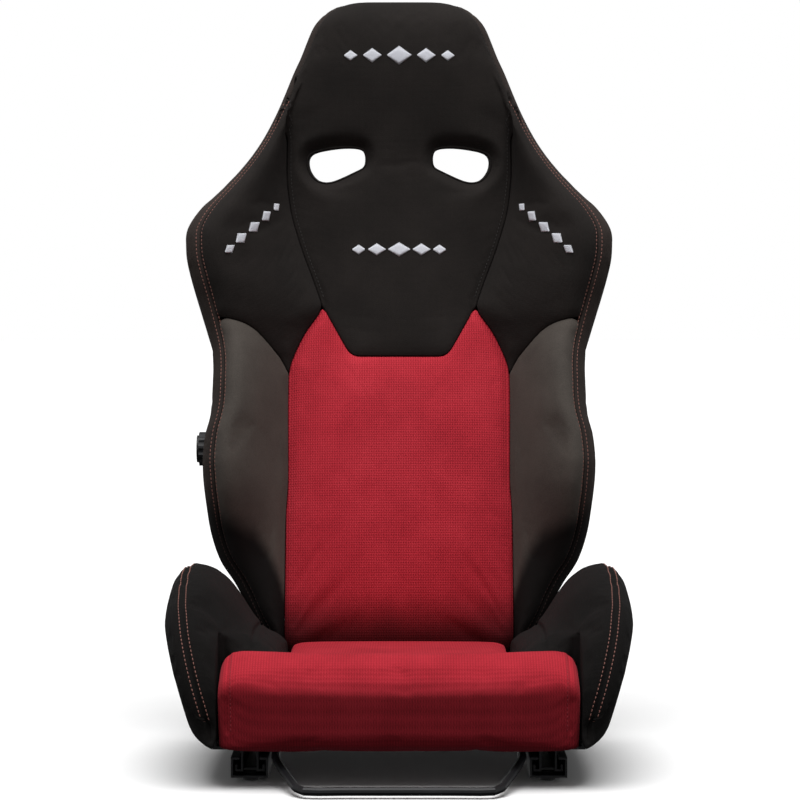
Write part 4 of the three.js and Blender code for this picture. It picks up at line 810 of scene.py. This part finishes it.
ear_l = mirrored(ear, "cushion_side_left")
tail.data.materials.clear(); paint(tail, WEB); tail.data.polygons.foreach_set("use_smooth", [True] * len(tail.data.polygons))
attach(tail, "carriage")
for x, n, m, s in ((ear, "cushion_bolster_right", BLACK_O, "black_fabric"), (ear_l, "cushion_bolster_left", BLACK_O, "black_fabric"), (roll, "cushion_front_roll", RED_O, "red_fabric"), (seat, "cushion_insert", RED_O, "red_fabric")):
    x.data.materials.clear(); paint(x, m); x.data.polygons.foreach_set("use_smooth", [True] * len(x.data.polygons))
    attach(x, "carriage"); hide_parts(n); soft[x.name] = x
#CUSHION_END#
#TRIM_START#
# ------------------------------------------------------------------ sewing and trim
def rod_path(name, P, radius, sides=8, N=None, flat=1.0):
    """A round bead along a path, closed at both ends."""
    P = np.asarray(P, float); T = np.gradient(P, axis=0); T /= np.maximum(np.linalg.norm(T, axis=1), 1e-12)[:, None]
    if N is None: N = np.tile([0, 0, 1.0], (len(P), 1))
    U = np.cross(T, N); U /= np.maximum(np.linalg.norm(U, axis=1), 1e-12)[:, None]; W = np.cross(U, T)
    V = []
    for k in range(sides):
        a = 2 * math.pi * k / sides; V.append(P + U * radius * math.cos(a) + W * radius * flat * math.sin(a))
    V = np.stack(V, 1).reshape(-1, 3); n = len(P); F = []
    for i in range(n - 1):
        for k in range(sides):
            F.append((i * sides + k, i * sides + (k + 1) % sides, (i + 1) * sides + (k + 1) % sides, (i + 1) * sides + k))
    F.append(tuple(range(sides - 1, -1, -1))); F.append(tuple((n - 1) * sides + k for k in range(sides)))
    o = new_object(name, V, F); fix_normals(o); return o
def stitches(name, lines, mat, body, pitch=0.0052, length=0.0040, r=0.00052, lift=0.0002):
    """A row of thread: one rounded, slightly sunk stitch after another along each line (P, N)."""
    prof = [(-0.5, 0.25, -0.0006), (-0.38, 0.85, -0.0001), (-0.15, 1.0, lift), (0.15, 1.0, lift), (0.38, 0.85, -0.0001), (0.5, 0.25, -0.0006)]
    V, F = [], []; sides = 6
    for P, N in lines:
        P = np.asarray(P); N = np.asarray(N)
        L = np.concatenate([[0], np.cumsum(np.linalg.norm(np.diff(P, axis=0), axis=1))])
        for c in np.arange(pitch * 0.6, L[-1] - pitch * 0.5, pitch):
            at = lambda t: np.array([np.interp(t, L, P[:, k]) for k in range(3)])
            nn = np.array([np.interp(c, L, N[:, k]) for k in range(3)]); nn /= np.linalg.norm(nn)
            base = len(V)
            t = at(c + length * .5) - at(c - length * .5); t /= max(np.linalg.norm(t), 1e-12)
            u = np.cross(t, nn); u /= max(np.linalg.norm(u), 1e-12)
            for f, g, h in prof:
                p = at(c + f * length) + nn * h
                for k in range(sides):
                    a = 2 * math.pi * k / sides
                    V.append(p + u * r * g * 1.15 * math.cos(a) + nn * r * g * math.sin(a))
            m = len(prof)
            for i in range(m - 1):
                for k in range(sides):
                    F.append((base + i * sides + k, base + i * sides + (k + 1) % sides, base + (i + 1) * sides + (k + 1) % sides, base + (i + 1) * sides + k))
            F.append(tuple(base + k for k in range(sides - 1, -1, -1))); F.append(tuple(base + (m - 1) * sides + k for k in range(sides)))
    if not V: return None
    o = new_object(name, V, F); fix_normals(o); paint(o, mat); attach(o, body); return o
def side_line(P, N, d):
    """The same line moved d metres sideways over the surface."""
    T = np.gradient(P, axis=0); T /= np.maximum(np.linalg.norm(T, axis=1), 1e-12)[:, None]
    U = np.cross(N, T); U /= np.maximum(np.linalg.norm(U, axis=1), 1e-12)[:, None]
    return P + U * d, N
def flip(line):
    P, N = line; m = np.array([-1, 1, 1]); return P * m, N * m

et2 = tree(ear)
ear_lines = []
for d in (0.0046, -0.0046):
    P, N = side_line(earP, earN, d); P, N = stick(P, N, et2)
    m = ~((P[:, 1] < -0.2) & (P[:, 2] < 0.080)); ear_lines.append((P[m], N[m]))
stitches("bolster_stitching_right", ear_lines, THREAD, "carriage")
stitches("bolster_stitching_left", [flip(l) for l in ear_lines], THREAD, "carriage")
rt2 = tree(roll); lines = []
for k, (P, N) in enumerate(roll_seams):
    Q, M = side_line(P, N, 0.0042 if k == 0 else -0.0042)
    Q, M = (Q, M) if abs(Q[len(Q) // 2, 0]) < abs(P[len(P) // 2, 0]) else side_line(P, N, -0.0042 if k == 0 else 0.0042)
    lines.append(stick(Q, M, rt2))
stitches("roll_stitching", lines, THREAD_RED, "carriage", r=0.00045)

# backrest: lines laid in (s, q) and dropped on to the covers
front_tree = tree(*[soft[n] for n in ("insert_cover", "yoke_cover", "shoulder_cover_right", "bolster_cover_right", "side_cover_right")])
def drop(S, Q, bvh=None, rear_=False, out=0.03):
    P, N = surf(S, Q, rear_); A, M = [], []
    for p, n in zip(P, N):
        h = (bvh or front_tree).ray_cast(Vector(p + n * out), Vector(-n), out * 2.2)
        if h[0] is None: continue
        A.append(np.array(h[0])); m = np.array(h[1]); M.append(m if m @ n > 0 else -m)
    return np.array(A), np.array(M)
def even(line, k=2):
    P, N = line
    for _ in range(k):
        Q = P.copy(); Q[1:-1] = .25 * P[:-2] + .5 * P[1:-1] + .25 * P[2:]; P = Q
    return P, N
qs_side = np.arange(-40, 700, 4.0)
side_lines = []
for d in (-4.8, 4.8):
    side_lines.append(even(drop([s_side(q) + d for q in qs_side], qs_side)))
stitches("side_stitching_right", side_lines, THREAD_SIDE, "backrest")
stitches("side_stitching_left", [flip(l) for l in side_lines], THREAD_SIDE, "backrest")
# a plain row beside the head seam and the yoke seam, in the cloth's own colour
qh = np.arange(722, 846, 4.0)
head_line = [even(drop([s_side(q) - 4.2 for q in qh], qh))]
qy = np.arange(424, 700, 4.0)
yoke_line = [even(drop([s_seam(q) - 4.2 for q in qy], qy))]
stitches("yoke_stitching_right", head_line + yoke_line, THREAD_BLACK, "backrest", r=0.00042)
stitches("yoke_stitching_left", [flip(l) for l in head_line + yoke_line], THREAD_BLACK, "backrest", r=0.00042)

# piping round the back panel
qp = np.concatenate([np.arange(-58, 790, 6.0), np.arange(790, 850, 4.0)])
half = []
for q in qp:
    P, N = surf([s_back(q)], [q]); half.append((P[0] - N[0] * 0.0008, N[0]))
P = np.array([h[0] for h in half]); N = np.array([h[1] for h in half])
Pl, Nl = P * [-1, 1, 1], N * [-1, 1, 1]
top_q = 853.0
Pt, Nt = surf([-(0.5) * back_t(top_q), -0.25 * back_t(top_q), 0.01, 0.25 * back_t(top_q), 0.5 * back_t(top_q)][::-1], [top_q + 3] * 5, True)
P = np.vstack([P, Pl[::-1]]); N = np.vstack([N, Nl[::-1]])
Q = P.copy()
for _ in range(3):
    R = Q.copy(); R[1:-1] = .25 * Q[:-2] + .5 * Q[1:-1] + .25 * Q[2:]; Q = R
pipe = rod_path("back_piping", Q, 0.0021, 8, N); paint(pipe, PIPING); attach(pipe, "backrest")

# fabric tunnels through the harness slots
def tunnel(name, sg):
    n = 96; ws = [(0.15, None, -3.4), (0.0, None, -1.0), (0.5, None, 0.6), (1.5, None, 1.3), (2.7, None, 0.7), (3.5, None, -1.2), (3.7, None, -4.0)]
    loops = []
    def loop(grow, wf):
        p = slot_at(0, 40, grow)
        L = np.concatenate([[0], np.cumsum(np.linalg.norm(np.diff(np.vstack([p, p[:1]]), axis=0), axis=1))]); t = np.linspace(0, L[-1], n, endpoint=False); pc = np.vstack([p, p[:1]])
        p = np.stack([np.interp(t, L, pc[:, 0]), np.interp(t, L, pc[:, 1])], 1)
        out = []
        for u, v in p:
            w = wf(u, v); out.append((sg * u, v - math.tan(math.radians(14)) * (w - 40), w))
        out = np.array(out); return B(out[:, 0], out[:, 1], out[:, 2])
    def face(u, v):
        s = s_of_u(u, v); return sec(s, v)[1]
    front = {}
    def fw(u, v):
        k = (round(u, 1), round(v, 1))
        if k not in front: front[k] = face(u, v)
        return front[k]
    for w in (-27.0, -20.0, -5.0, 10.0, 22.0): loops.append(loop(0.3, lambda u, v, w=w: w))
    for g, _, d in ws: loops.append(loop(g, lambda u, v, d=d: fw(u, v) - 7.4 + d))
    for w in (22.0, 10.0, -5.0, -20.0, -27.0): loops.append(loop(2.5, lambda u, v, w=w: w))
    V = np.vstack(loops); m = len(loops); F = []
    for i in range(m):
        j = (i + 1) % m
        for k in range(n): F.append((i * n + k, i * n + (k + 1) % n, j * n + (k + 1) % n, j * n + k))
    uv = []
    for i in range(m):
        for k in range(n): uv.append((k * 0.0024, i * 0.006))
    o = new_object(name, V, F, uv); fix_normals(o); paint(o, BLACK)
    md = o.modifiers.new("s", "SUBSURF"); md.levels = 1; md.render_levels = 1; md.use_limit_surface = False
    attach(o, "backrest"); return o
t = tunnel("slot_lining_right", 1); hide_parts("harness_slot_liner_right")
t = tunnel("slot_lining_left", -1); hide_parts("harness_slot_liner_left")

# plain embroidered lozenges: rows of satin stitches that follow the cover
def lozenge(V, F, S0, Q0_, ang, hw, hh, bvh):
    """Satin threads side by side inside a lozenge hw by hh (mm), turned by ang."""
    ca, sa = math.cos(ang), math.sin(ang); sides = 6
    for x in np.arange(-hw + 0.7, hw - 0.5, 1.15):
        y = hh * (1 - abs(x) / hw)
        if y < 0.8: continue
        ts = np.linspace(-1, 1, 7); pts = []
        for t in ts: pts.append((S0 + x * ca - (t * y) * sa, Q0_ + x * sa + (t * y) * ca))
        P, N = drop([p[0] for p in pts], [p[1] for p in pts], bvh)
        if len(P) < 7: continue
        hgt = 0.00028 + 0.00055 * (1 - ts ** 4); rr = 0.00062
        T = np.gradient(P, axis=0); T /= np.maximum(np.linalg.norm(T, axis=1), 1e-12)[:, None]
        base = len(V)
        for i in range(7):
            u = np.cross(T[i], N[i]); u /= max(np.linalg.norm(u), 1e-12); g = (0.45 if i in (0, 6) else 1.0)
            for k in range(sides):
                a = 2 * math.pi * k / sides; V.append(P[i] + N[i] * hgt[i] + u * rr * g * math.cos(a) + N[i] * 0.0005 * g * math.sin(a))
        for i in range(6):
            for k in range(sides): F.append((base + i * sides + k, base + i * sides + (k + 1) % sides, base + (i + 1) * sides + (k + 1) % sides, base + (i + 1) * sides + k))
        F.append(tuple(base + k for k in range(sides - 1, -1, -1))); F.append(tuple(base + 6 * sides + k for k in range(sides)))
def motif(name, items, mat):
    V, F = [], []
    for it in items: lozenge(V, F, *it, full_tree)
    o = new_object(name, V, F); fix_normals(o); paint(o, mat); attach(o, "backrest"); return o
full_tree = tree(*[soft[n] for n in ("yoke_cover", "shoulder_cover_right", "shoulder_cover_left")])
motif("head_embroidery", [(x, 752.0, 0.0, hw, hh) for x, hw, hh in ((0, 17, 13), (-36, 13, 10), (36, 13, 10), (-65, 9.5, 7.5), (65, 9.5, 7.5))], WHITE)
motif("chest_embroidery", [(x, 488.0, 0.0, hw, hh) for x, hw, hh in ((0, 15.5, 10), (-29.5, 12.5, 8.5), (29.5, 12.5, 8.5), (-53.5, 9.5, 7), (53.5, 9.5, 7))], WHITE)
for sg, nm in ((1, "right"), (-1, "left")):
    it = []; row = ((-45, 8.5, 6.5), (-24, 11, 8), (0, 12, 8.5), (24, 11, 8), (45, 8.5, 6.5))
    ends = [(s_of_u(194 + 0.625 * t, 508 - 0.781 * t), 508 - 0.781 * t) for t in (-45, 45)]
    a = math.atan2(ends[1][1] - ends[0][1], ends[1][0] - ends[0][0]) * sg
    for t, hw, hh in row:
        it.append((sg * s_of_u(194 + 0.625 * t, 508 - 0.781 * t), 508 - 0.781 * t, a, hw, hh))
    motif("shoulder_embroidery_" + nm, it, WHITE)
#TRIM_END#

# ------------------------------------------------------------------ floor, light, camera
def floor():
    me = bpy.data.meshes.new("floor"); s = 60.0
    me.from_pydata([(-s, -s, 0), (s, -s, 0), (s, s, 0), (-s, s, 0)], [], [(0, 1, 2, 3)]); me.update()
    o = bpy.data.objects.new("floor", me); scene.collection.objects.link(o)
    k = Mat("floor_pale"); v = k.obj(1.0); n = k.noise(v, 3.0, 4)
    k.set(Base_Color=k.ramp(n, [(0.3, (0.89, 0.89, 0.89, 1)), (0.7, (0.92, 0.92, 0.92, 1))]), Roughness=0.9)
    k.p.inputs["Specular IOR Level"].default_value = 0.0
    me.materials.append(k.m)
    o.visible_diffuse = False; o.visible_glossy = False  # a dark sweep below the seat keeps its front face in shade
    return o
floor()
w = bpy.data.worlds.new("studio"); scene.world = w; w.use_nodes = True
nt = w.node_tree; bg = nt.nodes["Background"]
tc = nt.nodes.new("ShaderNodeTexCoord"); sp = nt.nodes.new("ShaderNodeSeparateXYZ"); rp = nt.nodes.new("ShaderNodeValToRGB"); mr = nt.nodes.new("ShaderNodeMapRange")
nt.links.new(tc.outputs["Generated"], sp.inputs[0]); nt.links.new(sp.outputs[2], mr.inputs[0])
mr.inputs[1].default_value = -1; mr.inputs[2].default_value = 1; mr.inputs[3].default_value = 0; mr.inputs[4].default_value = 1
nt.links.new(mr.outputs[0], rp.inputs[0]); nt.links.new(rp.outputs[0], bg.inputs[0])
e = rp.color_ramp.elements; g = lambda v: (v, v, v, 1)
def at(z): return (z + 1) / 2
e[0].position, e[0].color = 0.0, g(SKY[0]); e[1].position, e[1].color = 1.0, g(SKY[4])
for z, v in ((-0.10, SKY[0]), (-0.02, 1.0), (0.13, 1.0), (0.22, SKY[1]), (0.5, SKY[2]), (0.8, SKY[3])):
    k = e.new(at(z)); k.color = g(v)
bg.inputs[1].default_value = 1.0
def sun(name, elevation, azimuth, strength, angle):
    l = bpy.data.lights.new(name, "SUN"); l.energy = strength; l.angle = math.radians(angle)
    o = bpy.data.objects.new(name, l); scene.collection.objects.link(o)
    el, az = math.radians(elevation), math.radians(azimuth)
    d = Vector((math.sin(az) * math.cos(el), -math.cos(az) * math.cos(el), math.sin(el)))
    o.rotation_euler = d.to_track_quat("Z", "Y").to_euler(); return o
sun("overhead", SUN_EL, 0, SUN_S, SUN_A)
cam = bpy.data.cameras.new("camera"); cam.lens = 129.15; cam.sensor_width = 36; cam.clip_end = 50
co = bpy.data.objects.new("camera", cam); scene.collection.objects.link(co)
co.location = (0.0012, -3.570 + SHIFT / 1000, 0.560)
co.rotation_euler = (math.radians(90 - 1.81), 0, 0)
scene.camera = co
scene.view_settings.view_transform = "Standard"
